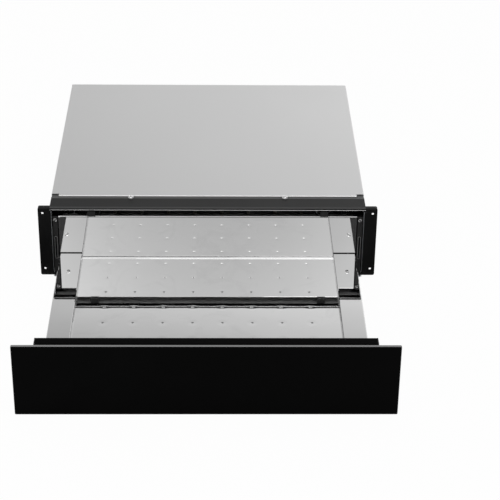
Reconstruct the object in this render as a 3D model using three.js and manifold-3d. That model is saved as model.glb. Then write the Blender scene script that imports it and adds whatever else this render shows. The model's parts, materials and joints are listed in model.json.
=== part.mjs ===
// Built-in warming drawer for a 60 cm niche, drawn with its drawer pulled fully open.
// Millimetres, +Z up, -Y towards the person who opens it. The origin is the middle of the
// casing's underside, the face that rests on the niche's shelf.

import * as THREE from 'three';
import { mergeGeometries, mergeVertices } from 'three/addons/utils/BufferGeometryUtils.js';
import Module from 'manifold-3d';

const wasm = await Module();
wasm.setup();

// ---------------------------------------------------------------- driving dimensions

// Sheet metal and the air left between pieces
const SHEET = 1;
const FRAME_SHEET = 1.5;
const BRACKET_SHEET = 1.5;
const GAP = 0.3;
const BEND_RADIUS = 1.2;
const CUT_MARGIN = 1;

// Casing: width over the cover, height to the cover's top, depth from the flange's front
const CASING_WIDTH = 549;
const CASING_HEIGHT = 143.5;
const CASING_DEPTH = 514;
const COVER_FRONT = 38;
const COVER_STEP = 2.5;
const COVER_SKIRT = 10;
const BASE_WALL = 12;
const SIDE_LIP = 14;
const SIDE_FLANGE = 5.5;
const BACK_RETURN = 12;
const CORNER_NOTCH = 1.5;
const FRONT_LIP_INSET = 3;
const FRONT_LIP_TOP = 7.5;
const HEM_DEPTH = 7;
const HEM_END = 12;
const TONGUE_MARGIN = 1.2;
const SCREW_SETBACK = 4;
const BACK_SCREW_INSET = 40;
const BACK_SCREW_DROP = 16;

// Vent slots in the back panel
const VENT_COUNT = 11;
const VENT_PITCH = 28;
const VENT_WIDTH = 4;
const VENT_LOW = 88;
const VENT_HIGH = 112;

// Front frame with its two fixing ears
const EAR_REACH = 21;
const FRAME_WIDTH = CASING_WIDTH + 2 * EAR_REACH;
const FRAME_BOTTOM = 5;
const FRAME_TOP = 139;
const FRAME_RETURN = 9;
const FRAME_BEND = 2;
const FRAME_CORNER = 3;
const OPENING_INSET = 1.5;
const OPENING_WIDTH = CASING_WIDTH - 2 * OPENING_INSET;
const OPENING_BOTTOM = 8;
const OPENING_TOP = 135.2;
const OPENING_CORNER = 5;
const COIN_DEPTH = 0.25;
const EAR_HOLE_RADIUS = 2.2;
const EAR_HOLE_INSET = 8;
const EAR_HOLE_LOW = 18;
const EAR_HOLE_HIGH = 128.5;
const TOP_RAIL_BOTTOM = 131.5;
const TOP_RAIL_LIP = 9;
const BUFFER_TAB_WIDTH = 14;
const BUFFER_TAB_CLEARANCE = 0.6;
const CAP_LAP = 12;
const CAP_BEND = 1.6;
const CAP_FLARE = 1;
const CAP_FLARE_LIFT = 0.8;

// Glass front and the carrier beam behind it
const PANEL_WIDTH = 595;
const PANEL_HEIGHT = 126;
const PANEL_THICKNESS = 4.5;
const PANEL_LIFT = 1;
const PANEL_CORNER = 1.5;
const PANEL_ARRIS = 0.5;
const TAPE_THICKNESS = 0.8;
const TAPE_WIDTH = 18;
const TAPE_MARGIN = 6;
const BEAM_INSET = 34.5;
const BEAM_WIDTH = PANEL_WIDTH - 2 * BEAM_INSET;
const BEAM_DEPTH = 19.4;
const BEAM_BOTTOM = 8;
const BEAM_LIP = 6;
const BEAM_SHEET = 1.2;
const END_CAP_THICKNESS = 1.5;
const END_CAP_CORNER = 1.5;
const PLUG_LENGTH = 9;
const PLUG_LIFT = 4;
const PLUG_EASE = 0.2;
const BUFFER_RADIUS = 2;
const BUFFER_HEIGHT = 2.6;
const BUFFER_INSET = 60;
const BUFFER_DROP = 4.1;

// Tray
const TRAY_SIDE_ROOM = 14;
const TRAY_WIDTH = CASING_WIDTH - 2 * TRAY_SIDE_ROOM;
const TRAY_DEPTH = 398.3;
const FLOOR_TOP = 38;
const FLOOR_SIDE_WALL = 8;
const FLOOR_MARGIN = 18.5;
const LEDGE_WIDTH = 39;
const LEDGE_RISE = 9;
const LEDGE_FOOT = 9;
const LEDGE_REAR_GAP = 1.2;
const SKIRT_BOTTOM = 8.5;
const WALL_TOP = 121;
const WALL_FOLD = 9;
const WALL_FOOT = 14;
const WALL_BEND = 2;
const WALL_SET_BACK = 4;
const WALL_SCREW_INSET = 13;
const WALL_SCREW_HEIGHT = 85;
const FOOT_FLAT = 3.4;
const FOOT_STEP = 1.2;
const DIMPLE_PITCH = 49.5;
const DIMPLE_ROW_PITCH = 48.8;
const DIMPLE_ROWS = 8;
const DIMPLE_COLUMNS = 8;
const DIMPLE_RADIUS = 2.8;
const DIMPLE_DEPTH = 1.2;
const DIMPLE_REAR_MARGIN = 21;

// Telescopic slides, three rails each, running on caged balls
const TRAVEL = 393;
const RAIL_HEIGHT = 36;
const RAIL_DEPTH = 12.7;
const RAIL_SHEET = 1.2;
const RAIL_BOTTOM = 8.6;
const OUTER_RAIL_LENGTH = 450;
const OUTER_RAIL_SET_BACK = 8;
const MIDDLE_RAIL_LENGTH = 420;
const INNER_RAIL_LENGTH = 390;
const LIP_CURL = 2;
const BALL_RADIUS = 1.45;
const CAGE_SHEET = 0.5;
const CAGE_LENGTH = 140;
const CAGE_INSET = 14;
const BALLS_PER_ROW = 5;

// Rail brackets with the hanger tab that shows beside the tray
const BRACKET_FOOT = 20;
const BRACKET_REAR_GAP = 38.5;
const BRACKET_REAR_HEIGHT = 43;
const HANGER_WIDTH = 8.2;
const HANGER_TOP = 121;
const HANGER_SCREW_HEIGHT = 114;
const HANGER_SLOT_WIDTH = 3.2;
const HANGER_SLOT_BOTTOM = 37;
const HANGER_SLOT_TOP = 81;
const HANGER_RIM = 0.8;
const HANGER_STAND_OFF = 3.2;
const CROSS_FOOT = 18;

// Heater under the tray
const MAT_THICKNESS = 8.4;
const MAT_SIDE_ROOM = 22.2;
const MAT_LENGTH = 352;
const MAT_FRONT = 30;
const REFLECTOR_WALL = 12;
const TUBE_RADIUS = 3.2;
const TUBE_HEIGHT = 20;
const TUBE_PASSES = 8;
const TUBE_MARGIN = 29;
const TUBE_FRONT = 50;
const TUBE_REAR = 350;
const TUBE_TAIL = 402;
const CLIP_WIDTH = 10;
const CLIP_SHEET = 0.8;
const RACK_INSET = 40;

// Service space behind the tray
const LATCH_HEIGHT = 62;
const LATCH_WIDTH = 36;
const LATCH_BODY_HEIGHT = 26;
const LATCH_FRONT = 412;
const LATCH_LENGTH = 44;
const LATCH_TRAVEL = 4;
const PLUNGER_RADIUS = 5;
const PLUNGER_CLEARANCE = 0.4;
const PLUNGER_REACH = 6;
const STRIKER_WIDTH = 30;
const STRIKER_HEIGHT = 30;
const STRIKER_THICKNESS = 2;
const GLAND_X = 180;
const GLAND_HEIGHT = 34;
const GLAND_RADIUS = 8;
const GLAND_FIT = 0.6;
const BLOCK_X = 150;
const BLOCK_HALF_DEPTH = 10;
const BLOCK_HALF_WIDTH = 21;
const BLOCK_HEIGHT = 17;
const BLOCK_STEP = 5;
const BLOCK_STEP_RISE = 10;
const BLOCK_ENTRY_RISE = 5.5;
const BLOCK_SCREW_RADIUS = 2.4;
const BLOCK_PITCH = 13;
const LEAD_RADIUS = 1.6;

// Screws
const SCREW_HEAD_RADIUS = 3.4;
const SCREW_HEAD_HEIGHT = 2.2;
const SCREW_SHANK_RADIUS = 1.6;
const SCREW_SHANK_LENGTH = 5;
const SCREW_FIT = 0.35;
const COVER_SCREW_X = 135;
const SCREW_SIDES = 10;

// ---------------------------------------------------------------- derived places

const coverUnderside = CASING_HEIGHT - SHEET;
const capTop = CASING_HEIGHT - COVER_STEP;
const tongueTop = capTop + GAP + SHEET;
const sideOuter = CASING_WIDTH / 2 - SHEET - GAP;
const sideInner = sideOuter - SHEET;
const sideTop = capTop - SHEET - GAP;
const behindFrame = FRAME_SHEET + GAP;
const backFront = CASING_DEPTH - SHEET;
const trayHalf = TRAY_WIDTH / 2;
const ledgeInner = trayHalf - LEDGE_WIDTH;
const ledgeTop = FLOOR_TOP + LEDGE_RISE;
const beamFront = PANEL_THICKNESS + TAPE_THICKNESS + 2 * GAP;
const beamRear = beamFront + BEAM_DEPTH;
const trayFront = beamRear + GAP;
const trayRear = trayFront + TRAY_DEPTH;
const floorRear = trayRear - FOOT_FLAT - FOOT_STEP - GAP;
const drawerOffset = WALL_SET_BACK - trayRear;
const panelTop = PANEL_LIFT + PANEL_HEIGHT;
const railOuterFace = trayHalf - SHEET - GAP;
const railBack = railOuterFace - RAIL_DEPTH;
const railMiddleZ = RAIL_BOTTOM + RAIL_HEIGHT / 2;
const bracketFace = railBack - GAP;
const matHalf = bracketFace - BRACKET_FOOT - MAT_SIDE_ROOM;
const tubePitch = (2 * (matHalf - TUBE_MARGIN)) / (TUBE_PASSES - 1);
const footUnderside = SHEET + GAP;
const reflectorUnderside = footUnderside + MAT_THICKNESS + GAP;
const reflectorTop = reflectorUnderside + SHEET;
const hangerX = (trayHalf + sideInner) / 2;
const closedTrayRear = drawerOffset + TRAVEL + trayRear + SHEET + WALL_FOLD;
const blockY = (closedTrayRear + backFront) / 2;
const latchRear = LATCH_FRONT + LATCH_LENGTH;
const middleRailFront = OUTER_RAIL_SET_BACK + (OUTER_RAIL_LENGTH - MIDDLE_RAIL_LENGTH - TRAVEL) / 2;
const plungerTip = LATCH_FRONT - PLUNGER_REACH;

// ---------------------------------------------------------------- materials

function finish(color, roughness, metalness) {
  return { color, roughness, metalness };
}

const MIRROR_STEEL = finish(0xd9d9d9, 0.06, 1);
const SATIN_STEEL = finish(0xc9cacb, 0.35, 1);
const BLACK_PAINT = finish(0x17181a, 0.35, 0.1);
const DEEP_BLACK_PAINT = finish(0x0d0e0f, 0.45, 0.1);
const GREY_PAINT = finish(0x3a3b3d, 0.45, 0.1);
const BLACK_GLASS = finish(0x050506, 0.04, 0);
const ZINC_STEEL = finish(0xb4b8bd, 0.3, 1);
const BLACK_STEEL = finish(0x1c1d1f, 0.3, 0.6);
const BALL_STEEL = finish(0xe6e6e6, 0.12, 1);
const BRIGHT_SCREW = finish(0xe2e2e2, 0.15, 1);
const RUBBER = finish(0x101010, 0.85, 0);
const BLACK_PLASTIC = finish(0x1b1b1c, 0.5, 0);
const GREY_PLASTIC = finish(0x8c8e90, 0.55, 0);
const CERAMIC = finish(0xe8e2d6, 0.6, 0);
const MINERAL_WOOL = finish(0xd8d2c0, 0.95, 0);
const HEATER_SHEATH = finish(0x6d6a63, 0.4, 0.9);
const SILICONE_LEAD = finish(0xd9dadb, 0.6, 0);

// ---------------------------------------------------------------- solids

const appliance = new THREE.Group();
const cabinet = new THREE.Group();
const drawer = new THREE.Group();
cabinet.position.y = -CASING_DEPTH / 2;
drawer.position.y = drawerOffset;
appliance.add(cabinet);
cabinet.add(drawer);

// Adds one named piece. The cabinet's frame has y = 0 at the front of the flange, and the
// drawer's frame has y = 0 at the front of the glass.
function addPiece(group, name, geometry, material) {
  const mesh = new THREE.Mesh(geometry, new THREE.MeshStandardMaterial(material));
  mesh.name = name;
  group.add(mesh);
}

function toSolid(geometry) {
  const bare = geometry.clone();
  bare.deleteAttribute('normal');
  bare.deleteAttribute('uv');
  const welded = mergeVertices(bare, 1e-4);
  return new wasm.Manifold(new wasm.Mesh({
    numProp: 3,
    vertProperties: new Float32Array(welded.attributes.position.array),
    triVerts: new Uint32Array(welded.index.array),
  }));
}

function toGeometry(solid) {
  const mesh = solid.getMesh();
  const geometry = new THREE.BufferGeometry();
  geometry.setAttribute('position', new THREE.BufferAttribute(mesh.vertProperties, mesh.numProp));
  geometry.setIndex(new THREE.BufferAttribute(mesh.triVerts, 1));
  geometry.computeVertexNormals();
  return geometry;
}

function join(...geometries) {
  return toGeometry(geometries.map(toSolid).reduce((whole, piece) => whole.add(piece)));
}

function cut(geometry, ...tools) {
  return toGeometry(tools.map(toSolid).reduce((whole, tool) => whole.subtract(tool), toSolid(geometry)));
}

// Separate cutting or joining tools as one
function together(geometries) {
  const bare = geometries.map((geometry) => {
    const copy = geometry.index ? geometry.toNonIndexed() : geometry.clone();
    copy.deleteAttribute('normal');
    copy.deleteAttribute('uv');
    return copy;
  });
  return mergeVertices(mergeGeometries(bare), 1e-4);
}

// The same piece for the other side of the casing
function mirrored(geometry) {
  const copy = geometry.index ? geometry.toNonIndexed() : geometry.clone();
  copy.deleteAttribute('normal');
  copy.deleteAttribute('uv');
  const position = copy.attributes.position;
  const flipped = new Float32Array(position.array.length);
  for (let corner = 0; corner < position.count; corner += 1) {
    const triangle = Math.floor(corner / 3) * 3;
    const source = triangle + (2 - (corner - triangle));
    flipped[3 * corner] = -position.getX(source);
    flipped[3 * corner + 1] = position.getY(source);
    flipped[3 * corner + 2] = position.getZ(source);
  }
  const mirror = new THREE.BufferGeometry();
  mirror.setAttribute('position', new THREE.BufferAttribute(flipped, 3));
  return mergeVertices(mirror, 1e-4);
}

function addPair(group, name, rightGeometry, material) {
  addPiece(group, `right_${name}`, rightGeometry, material);
  addPiece(group, `left_${name}`, mirrored(rightGeometry), material);
}

// ---------------------------------------------------------------- profiles

const v2 = (x, y) => new THREE.Vector2(x, y);
const v3 = (x, y, z) => new THREE.Vector3(x, y, z);

// A centre line with its corners rounded to arcs
function roundedLine(corners, radius, steps) {
  const line = [corners[0].clone()];
  for (let i = 1; i < corners.length - 1; i += 1) {
    const inward = corners[i].clone().sub(corners[i - 1]);
    const outward = corners[i + 1].clone().sub(corners[i]);
    const turn = Math.atan2(inward.cross(outward), inward.dot(outward));
    const room = 0.45 * Math.min(inward.length(), outward.length());
    const setBack = Math.min(radius * Math.tan(Math.abs(turn) / 2), room);
    const bend = setBack / Math.tan(Math.abs(turn) / 2);
    const start = corners[i].clone().sub(inward.clone().setLength(setBack));
    const toCentre = v2(-inward.y, inward.x).setLength(bend * Math.sign(turn));
    const centre = start.clone().add(toCentre);
    for (let k = 0; k <= steps; k += 1) {
      line.push(start.clone().rotateAround(centre, (turn * k) / steps));
    }
  }
  line.push(corners[corners.length - 1].clone());
  return line;
}

// The closed outline of a folded sheet of one thickness, drawn by its centre line
function foldedSheet(corners, thickness, radius = BEND_RADIUS, steps = 2) {
  const line = roundedLine(corners, radius, steps);
  const left = [];
  const right = [];
  for (let i = 0; i < line.length; i += 1) {
    const before = line[Math.max(i - 1, 0)];
    const after = line[Math.min(i + 1, line.length - 1)];
    const first = line[i].clone().sub(i > 0 ? before : line[i]);
    const second = after.clone().sub(line[i]);
    const a = (i > 0 ? first : second).clone().normalize();
    const b = (i < line.length - 1 ? second : first).clone().normalize();
    const normal = v2(-a.y - b.y, a.x + b.x).normalize();
    const reach = thickness / 2 / normal.dot(v2(-a.y, a.x));
    left.push(line[i].clone().addScaledVector(normal, reach));
    right.push(line[i].clone().addScaledVector(normal, -reach));
  }
  return new THREE.Shape([...left, ...right.reverse()]);
}

function roundedRectangle(x0, y0, x1, y1, radius) {
  const shape = new THREE.Shape();
  shape.moveTo(x0 + radius, y0);
  shape.lineTo(x1 - radius, y0);
  shape.absarc(x1 - radius, y0 + radius, radius, -Math.PI / 2, 0);
  shape.lineTo(x1, y1 - radius);
  shape.absarc(x1 - radius, y1 - radius, radius, 0, Math.PI / 2);
  shape.lineTo(x0 + radius, y1);
  shape.absarc(x0 + radius, y1 - radius, radius, Math.PI / 2, Math.PI);
  shape.lineTo(x0, y0 + radius);
  shape.absarc(x0 + radius, y0 + radius, radius, Math.PI, 1.5 * Math.PI);
  return shape;
}

function circleShape(x, y, radius) {
  const shape = new THREE.Shape();
  shape.absarc(x, y, radius, 0, 2 * Math.PI);
  return shape;
}

function extrude(shape, length, curveSegments) {
  return new THREE.ExtrudeGeometry(shape, { depth: length, bevelEnabled: false, curveSegments });
}

// A profile drawn in (y, z), run from one x to another
function alongX(shape, from, to, curveSegments = 3) {
  const turn = new THREE.Matrix4().makeBasis(v3(0, 1, 0), v3(0, 0, 1), v3(1, 0, 0));
  return extrude(shape, to - from, curveSegments).applyMatrix4(turn).translate(from, 0, 0);
}

// A profile drawn in (x, z), run from one y to another
function alongY(shape, from, to, curveSegments = 3) {
  return extrude(shape, to - from, curveSegments).rotateX(Math.PI / 2).translate(0, to, 0);
}

// A profile drawn in (x, y), run from one z to another
function alongZ(shape, from, to, curveSegments = 3) {
  return extrude(shape, to - from, curveSegments).translate(0, 0, from);
}

function block(x0, x1, y0, y1, z0, z1) {
  const box = new THREE.BoxGeometry(x1 - x0, y1 - y0, z1 - z0);
  return box.translate((x0 + x1) / 2, (y0 + y1) / 2, (z0 + z1) / 2);
}

// A turned part standing at a point, its axis along the given direction
function turned(profile, sides, at, direction) {
  const lathe = new THREE.LatheGeometry(profile, sides);
  lathe.applyQuaternion(new THREE.Quaternion().setFromUnitVectors(v3(0, 1, 0), direction));
  return lathe.translate(at.x, at.y, at.z);
}

const OUTWARD = {
  right: v3(1, 0, 0),
  left: v3(-1, 0, 0),
  front: v3(0, -1, 0),
  back: v3(0, 1, 0),
  up: v3(0, 0, 1),
};

// A pan-head screw whose head rests on the given point of a face
function screw(at, direction, shank = SCREW_SHANK_LENGTH) {
  const seat = GAP / 2;
  const top = seat + SCREW_HEAD_HEIGHT;
  const profile = [
    v2(0, -shank),
    v2(SCREW_SHANK_RADIUS, -shank),
    v2(SCREW_SHANK_RADIUS, seat),
    v2(SCREW_HEAD_RADIUS, seat),
    v2(SCREW_HEAD_RADIUS, seat + SCREW_HEAD_HEIGHT * 0.45),
    v2(SCREW_HEAD_RADIUS * 0.62, top),
    v2(0, top),
  ];
  return turned(profile, SCREW_SIDES, at, direction);
}

// The clearance hole for that screw, through everything up to a depth
function screwHole(at, direction, depth = SCREW_SHANK_LENGTH + 2) {
  const radius = SCREW_SHANK_RADIUS + SCREW_FIT;
  const profile = [v2(0, -depth), v2(radius, -depth), v2(radius, 2), v2(0, 2)];
  return turned(profile, SCREW_SIDES, at, direction);
}

// ---------------------------------------------------------------- casing

const sideScrews = [0.12, 0.5, 0.88].map((share) => v3(sideOuter, CASING_DEPTH * share, BASE_WALL / 2 + 1));
const backScrews = [-1, 1].flatMap((side) => [
  v3(side * (sideOuter - BACK_SCREW_INSET), CASING_DEPTH, BASE_WALL / 2 + 1),
  v3(side * (sideOuter - BACK_SCREW_INSET), CASING_DEPTH, sideTop - BACK_SCREW_DROP),
]);
const coverScrews = [-1, 1].map((side) => v3(side * COVER_SCREW_X, COVER_FRONT - SCREW_SETBACK, tongueTop));
const hangerScrews = [-1, 1].map((side) => v3(side * hangerX, HANGER_STAND_OFF, HANGER_SCREW_HEIGHT));
const across = (point) => v3(-point.x, point.y, point.z);

function basePan() {
  const half = sideInner - GAP - SHEET / 2;
  const low = SHEET / 2;
  const corners = [v2(-half, BASE_WALL), v2(-half, low), v2(half, low), v2(half, BASE_WALL)];
  const pan = alongY(foldedSheet(corners, SHEET), behindFrame, backFront - GAP - BEND_RADIUS);
  const lipHalf = half - FRONT_LIP_INSET;
  const frontLip = block(-lipHalf, lipHalf, behindFrame, behindFrame + SHEET, low, FRONT_LIP_TOP);
  const holes = sideScrews.flatMap((at) => [screwHole(at, OUTWARD.right), screwHole(across(at), OUTWARD.left)]);
  const notchFront = CASING_DEPTH - BACK_RETURN - CORNER_NOTCH;
  const lipTop = BASE_WALL + CUT_MARGIN;
  const rearNotches = [-half, half].map((x) => (
    block(x - 2 * SHEET, x + 2 * SHEET, notchFront, CASING_DEPTH, BEND_RADIUS + SHEET, lipTop)));
  return cut(join(pan, frontLip), ...holes, ...rearNotches);
}

function rightSidePanel() {
  const x = sideOuter - SHEET / 2;
  const top = sideTop - SHEET / 2;
  const profile = foldedSheet([v2(x - SIDE_LIP, top), v2(x, top), v2(x, GAP)], SHEET);
  const wall = alongY(profile, behindFrame, CASING_DEPTH);
  const frameTop = FRAME_TOP - FRAME_SHEET - GAP;
  const flange = block(x, x + SIDE_FLANGE, behindFrame, behindFrame + SHEET, FRAME_BOTTOM + GAP,
    frameTop - FRAME_CORNER);
  const underCap = block(x - SIDE_LIP - CUT_MARGIN, sideOuter + CUT_MARGIN, 0, FRAME_RETURN + GAP + SHEET,
    frameTop, sideTop + CUT_MARGIN);
  return cut(join(wall, flange), underCap, ...sideScrews.map((at) => screwHole(at, OUTWARD.right)));
}

// Rear wall with side returns, a gland hole and a row of vent slots
function backPanel() {
  const half = sideInner - GAP - SHEET / 2;
  const y = CASING_DEPTH - SHEET / 2;
  const returnFront = CASING_DEPTH - BACK_RETURN;
  const top = sideTop - SHEET - GAP;
  const plan = foldedSheet([v2(-half, returnFront), v2(-half, y), v2(half, y), v2(half, returnFront)], SHEET);
  const wall = alongZ(plan, SHEET + GAP, top);
  const throughFront = backFront - CUT_MARGIN;
  const throughBack = CASING_DEPTH + CUT_MARGIN;
  const slots = [];
  for (let i = 0; i < VENT_COUNT; i += 1) {
    const x = (i - (VENT_COUNT - 1) / 2) * VENT_PITCH;
    const reach = VENT_WIDTH / 2;
    const slot = roundedRectangle(x - reach, VENT_LOW, x + reach, VENT_HIGH, 0.95 * reach);
    slots.push(alongY(slot, throughFront, throughBack, 1));
  }
  const glandCircle = circleShape(GLAND_X, GLAND_HEIGHT, GLAND_RADIUS + GLAND_FIT);
  const glandHole = alongY(glandCircle, throughFront, throughBack, 8);
  const baseNotches = [-half, half].map((x) => (
    block(x - CORNER_NOTCH, x + CORNER_NOTCH, returnFront - CUT_MARGIN, y, 0, BASE_WALL + CUT_MARGIN + GAP)));
  const screwHoles = backScrews.map((at) => screwHole(at, OUTWARD.back));
  return cut(wall, ...slots, glandHole, ...baseNotches, ...screwHoles);
}

// Top cover: side skirts, a front edge turned down onto the cap rail, two screw tongues and
// relieved front corners
function topCover() {
  const half = CASING_WIDTH / 2 - SHEET / 2;
  const z = CASING_HEIGHT - SHEET / 2;
  const hemRear = COVER_FRONT + HEM_DEPTH;
  const low = CASING_HEIGHT - COVER_SKIRT;
  const sheet = alongY(foldedSheet([v2(-half, low), v2(-half, z), v2(half, z), v2(half, low)], SHEET),
    hemRear, CASING_DEPTH);
  const hemFace = COVER_FRONT + SHEET / 2;
  const hemProfile = foldedSheet([v2(hemRear + SHEET / 2, z), v2(hemFace, z), v2(hemFace, capTop + GAP)], SHEET,
    BEND_RADIUS, 4);
  const hemHalf = CASING_WIDTH / 2 - SHEET - HEM_END;
  const hem = alongX(hemProfile, -hemHalf, hemHalf);
  const reach = SCREW_HEAD_RADIUS + TONGUE_MARGIN;
  const tongues = coverScrews.map((at) => {
    const outline = new THREE.Shape();
    outline.absarc(at.x, at.y, reach, Math.PI, 2 * Math.PI);
    outline.lineTo(at.x + reach, COVER_FRONT + SHEET);
    outline.lineTo(at.x - reach, COVER_FRONT + SHEET);
    return alongZ(outline, tongueTop - SHEET, tongueTop, 8);
  });
  return cut(join(sheet, hem, ...tongues), ...coverScrews.map((at) => screwHole(at, OUTWARD.up)));
}

// Painted rail that closes the casing between the front frame and the cover. Its front edge
// folds down over the frame's top strip and flares out just above the opening.
function capRail() {
  const z = capTop - SHEET / 2;
  const y = -GAP - SHEET / 2;
  const lipEnd = OPENING_TOP + CAP_FLARE_LIFT;
  const rear = COVER_FRONT + CAP_LAP;
  const half = CASING_WIDTH / 2;
  const profile = [v2(y - CAP_FLARE, lipEnd), v2(y, lipEnd + CAP_FLARE), v2(y, z), v2(rear, z)];
  const rail = alongX(foldedSheet(profile, SHEET, CAP_BEND, 4), -half, half);
  const insideCover = half - SHEET - GAP;
  const trims = [[insideCover, half + CUT_MARGIN], [-half - CUT_MARGIN, -insideCover]].map(([from, to]) => (
    block(from, to, COVER_FRONT - GAP, rear + CUT_MARGIN, z - SHEET * 2, z + SHEET * 2)));
  return cut(rail, ...trims, ...coverScrews.map((at) => screwHole(at, OUTWARD.up)));
}

// Black channel that stiffens the frame's top strip, with two tabs that the drawer's buffers
// meet just above the path of the tray's wall
function topRail() {
  const y = behindFrame + SHEET / 2;
  const high = FRAME_TOP - FRAME_SHEET - GAP - SHEET / 2;
  const low = TOP_RAIL_BOTTOM + SHEET / 2;
  const half = sideInner - GAP;
  const rear = y + TOP_RAIL_LIP;
  const profile = foldedSheet([v2(rear, low), v2(y, low), v2(y, high), v2(rear, high)], SHEET);
  const tabs = [-1, 1].map((side) => {
    const x = side * (BEAM_WIDTH / 2 - BUFFER_INSET);
    return block(x - BUFFER_TAB_WIDTH / 2, x + BUFFER_TAB_WIDTH / 2, behindFrame, behindFrame + SHEET,
      WALL_TOP + BUFFER_TAB_CLEARANCE, low + BEND_RADIUS + SHEET);
  });
  return join(alongX(profile, -half, half), ...tabs);
}

// The waste outside one rounded corner of a plate that lies in x and z
function cornerWaste(x, z, radius) {
  const towardsX = Math.sign(x);
  const towardsZ = z > FRAME_TOP / 2 ? 1 : -1;
  const corners = [v2(x + towardsX, z - towardsZ * radius)];
  for (let k = 0; k <= 3; k += 1) {
    const angle = (Math.PI / 2) * (k / 3);
    const inX = radius * (1 - Math.cos(angle));
    const inZ = radius * (1 - Math.sin(angle));
    corners.push(v2(x - towardsX * inX, z - towardsZ * inZ));
  }
  corners.push(v2(x - towardsX * radius, z + towardsZ), v2(x + towardsX, z + towardsZ));
  return alongY(new THREE.Shape(corners), -1, FRAME_RETURN + 1);
}

// Black frame: one sheet folded back along its top, with the opening and four ear holes. Its back
// is coined a little thinner between the ears, so each ear has a seating face of its own.
function frontFrame() {
  const half = FRAME_WIDTH / 2;
  const openingHalf = OPENING_WIDTH / 2;
  const y = FRAME_SHEET / 2;
  const z = FRAME_TOP - FRAME_SHEET / 2;
  const profile = foldedSheet([v2(y, FRAME_BOTTOM), v2(y, z), v2(FRAME_RETURN, z)], FRAME_SHEET, FRAME_BEND, 4);
  const sheet = alongX(profile, -half, half);
  const opening = roundedRectangle(-openingHalf, OPENING_BOTTOM, openingHalf, OPENING_TOP, OPENING_CORNER);
  const coinHalf = sideOuter - SHEET / 2 + SIDE_FLANGE + GAP;
  const coin = block(-coinHalf, coinHalf, FRAME_SHEET - COIN_DEPTH, FRAME_SHEET + COIN_DEPTH,
    FRAME_BOTTOM - CUT_MARGIN, z - FRAME_BEND + COIN_DEPTH);
  const tools = [alongY(opening, -1, behindFrame, 3), coin];
  for (const side of [-1, 1]) {
    const casingX = side * (sideOuter - SHEET / 2);
    const room = SHEET / 2 + GAP;
    tools.push(block(casingX - room, casingX + room, behindFrame - GAP / 2, FRAME_RETURN + 1, z - 3, z + 3));
    for (const height of [EAR_HOLE_LOW, EAR_HOLE_HIGH]) {
      const hole = circleShape(side * (half - EAR_HOLE_INSET), height, EAR_HOLE_RADIUS);
      tools.push(alongY(hole, -1, behindFrame, 6));
    }
    tools.push(cornerWaste(side * half, FRAME_BOTTOM, FRAME_CORNER));
    tools.push(cornerWaste(side * half, FRAME_TOP, FRAME_CORNER));
  }
  return cut(sheet, ...tools);
}

addPiece(cabinet, 'base_pan', basePan(), ZINC_STEEL);
addPair(cabinet, 'side_panel', rightSidePanel(), ZINC_STEEL);
addPiece(cabinet, 'back_panel', backPanel(), ZINC_STEEL);
addPiece(cabinet, 'top_cover', topCover(), SATIN_STEEL);
addPiece(cabinet, 'cap_rail', capRail(), GREY_PAINT);
addPiece(cabinet, 'top_rail', topRail(), DEEP_BLACK_PAINT);
addPiece(cabinet, 'front_frame', frontFrame(), BLACK_PAINT);
addPair(cabinet, 'cover_screw', screw(coverScrews[1], OUTWARD.up, 3), BRIGHT_SCREW);

// ---------------------------------------------------------------- rail brackets

// Angle that stands on the base pan and carries the outer rail. A cross foot runs out under
// the tray's skirt to the slotted hanger tab, which shows in the gap beside the tray.
function rightRailBracket() {
  const x = bracketFace - BRACKET_SHEET / 2;
  const low = footUnderside + BRACKET_SHEET / 2;
  const angle = foldedSheet([v2(x - BRACKET_FOOT, low), v2(x, low), v2(x, BRACKET_REAR_HEIGHT)], BRACKET_SHEET);
  const front = HANGER_STAND_OFF + GAP;
  const leg = alongY(angle, front + 2, CASING_DEPTH - BRACKET_REAR_GAP);
  const crossFoot = block(x - 4, hangerX + HANGER_WIDTH / 2, HANGER_STAND_OFF, HANGER_STAND_OFF + CROSS_FOOT,
    footUnderside, footUnderside + BRACKET_SHEET);
  const left = hangerX - HANGER_WIDTH / 2;
  const right = hangerX + HANGER_WIDTH / 2;
  const slotOutline = (border) => {
    const reach = HANGER_SLOT_WIDTH / 2 + border;
    return roundedRectangle(hangerX - reach, HANGER_SLOT_BOTTOM - border, hangerX + reach,
      HANGER_SLOT_TOP + border, 0.97 * reach);
  };
  const tab = roundedRectangle(left, footUnderside, right, HANGER_TOP, 1.2);
  tab.holes.push(slotOutline(0), circleShape(hangerX, HANGER_SCREW_HEIGHT, SCREW_SHANK_RADIUS + SCREW_FIT));
  const rimOutline = slotOutline(HANGER_RIM);
  rimOutline.holes.push(slotOutline(0));
  const rim = alongY(rimOutline, HANGER_STAND_OFF - 0.8, HANGER_STAND_OFF + 0.5, 3);
  return join(leg, crossFoot, alongY(tab, HANGER_STAND_OFF, HANGER_STAND_OFF + BRACKET_SHEET, 3), rim);
}

addPair(cabinet, 'rail_bracket', rightRailBracket(), BLACK_STEEL);
addPair(cabinet, 'hanger_screw', screw(hangerScrews[1], OUTWARD.front, 4), BRIGHT_SCREW);

// ---------------------------------------------------------------- telescopic slides

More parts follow.
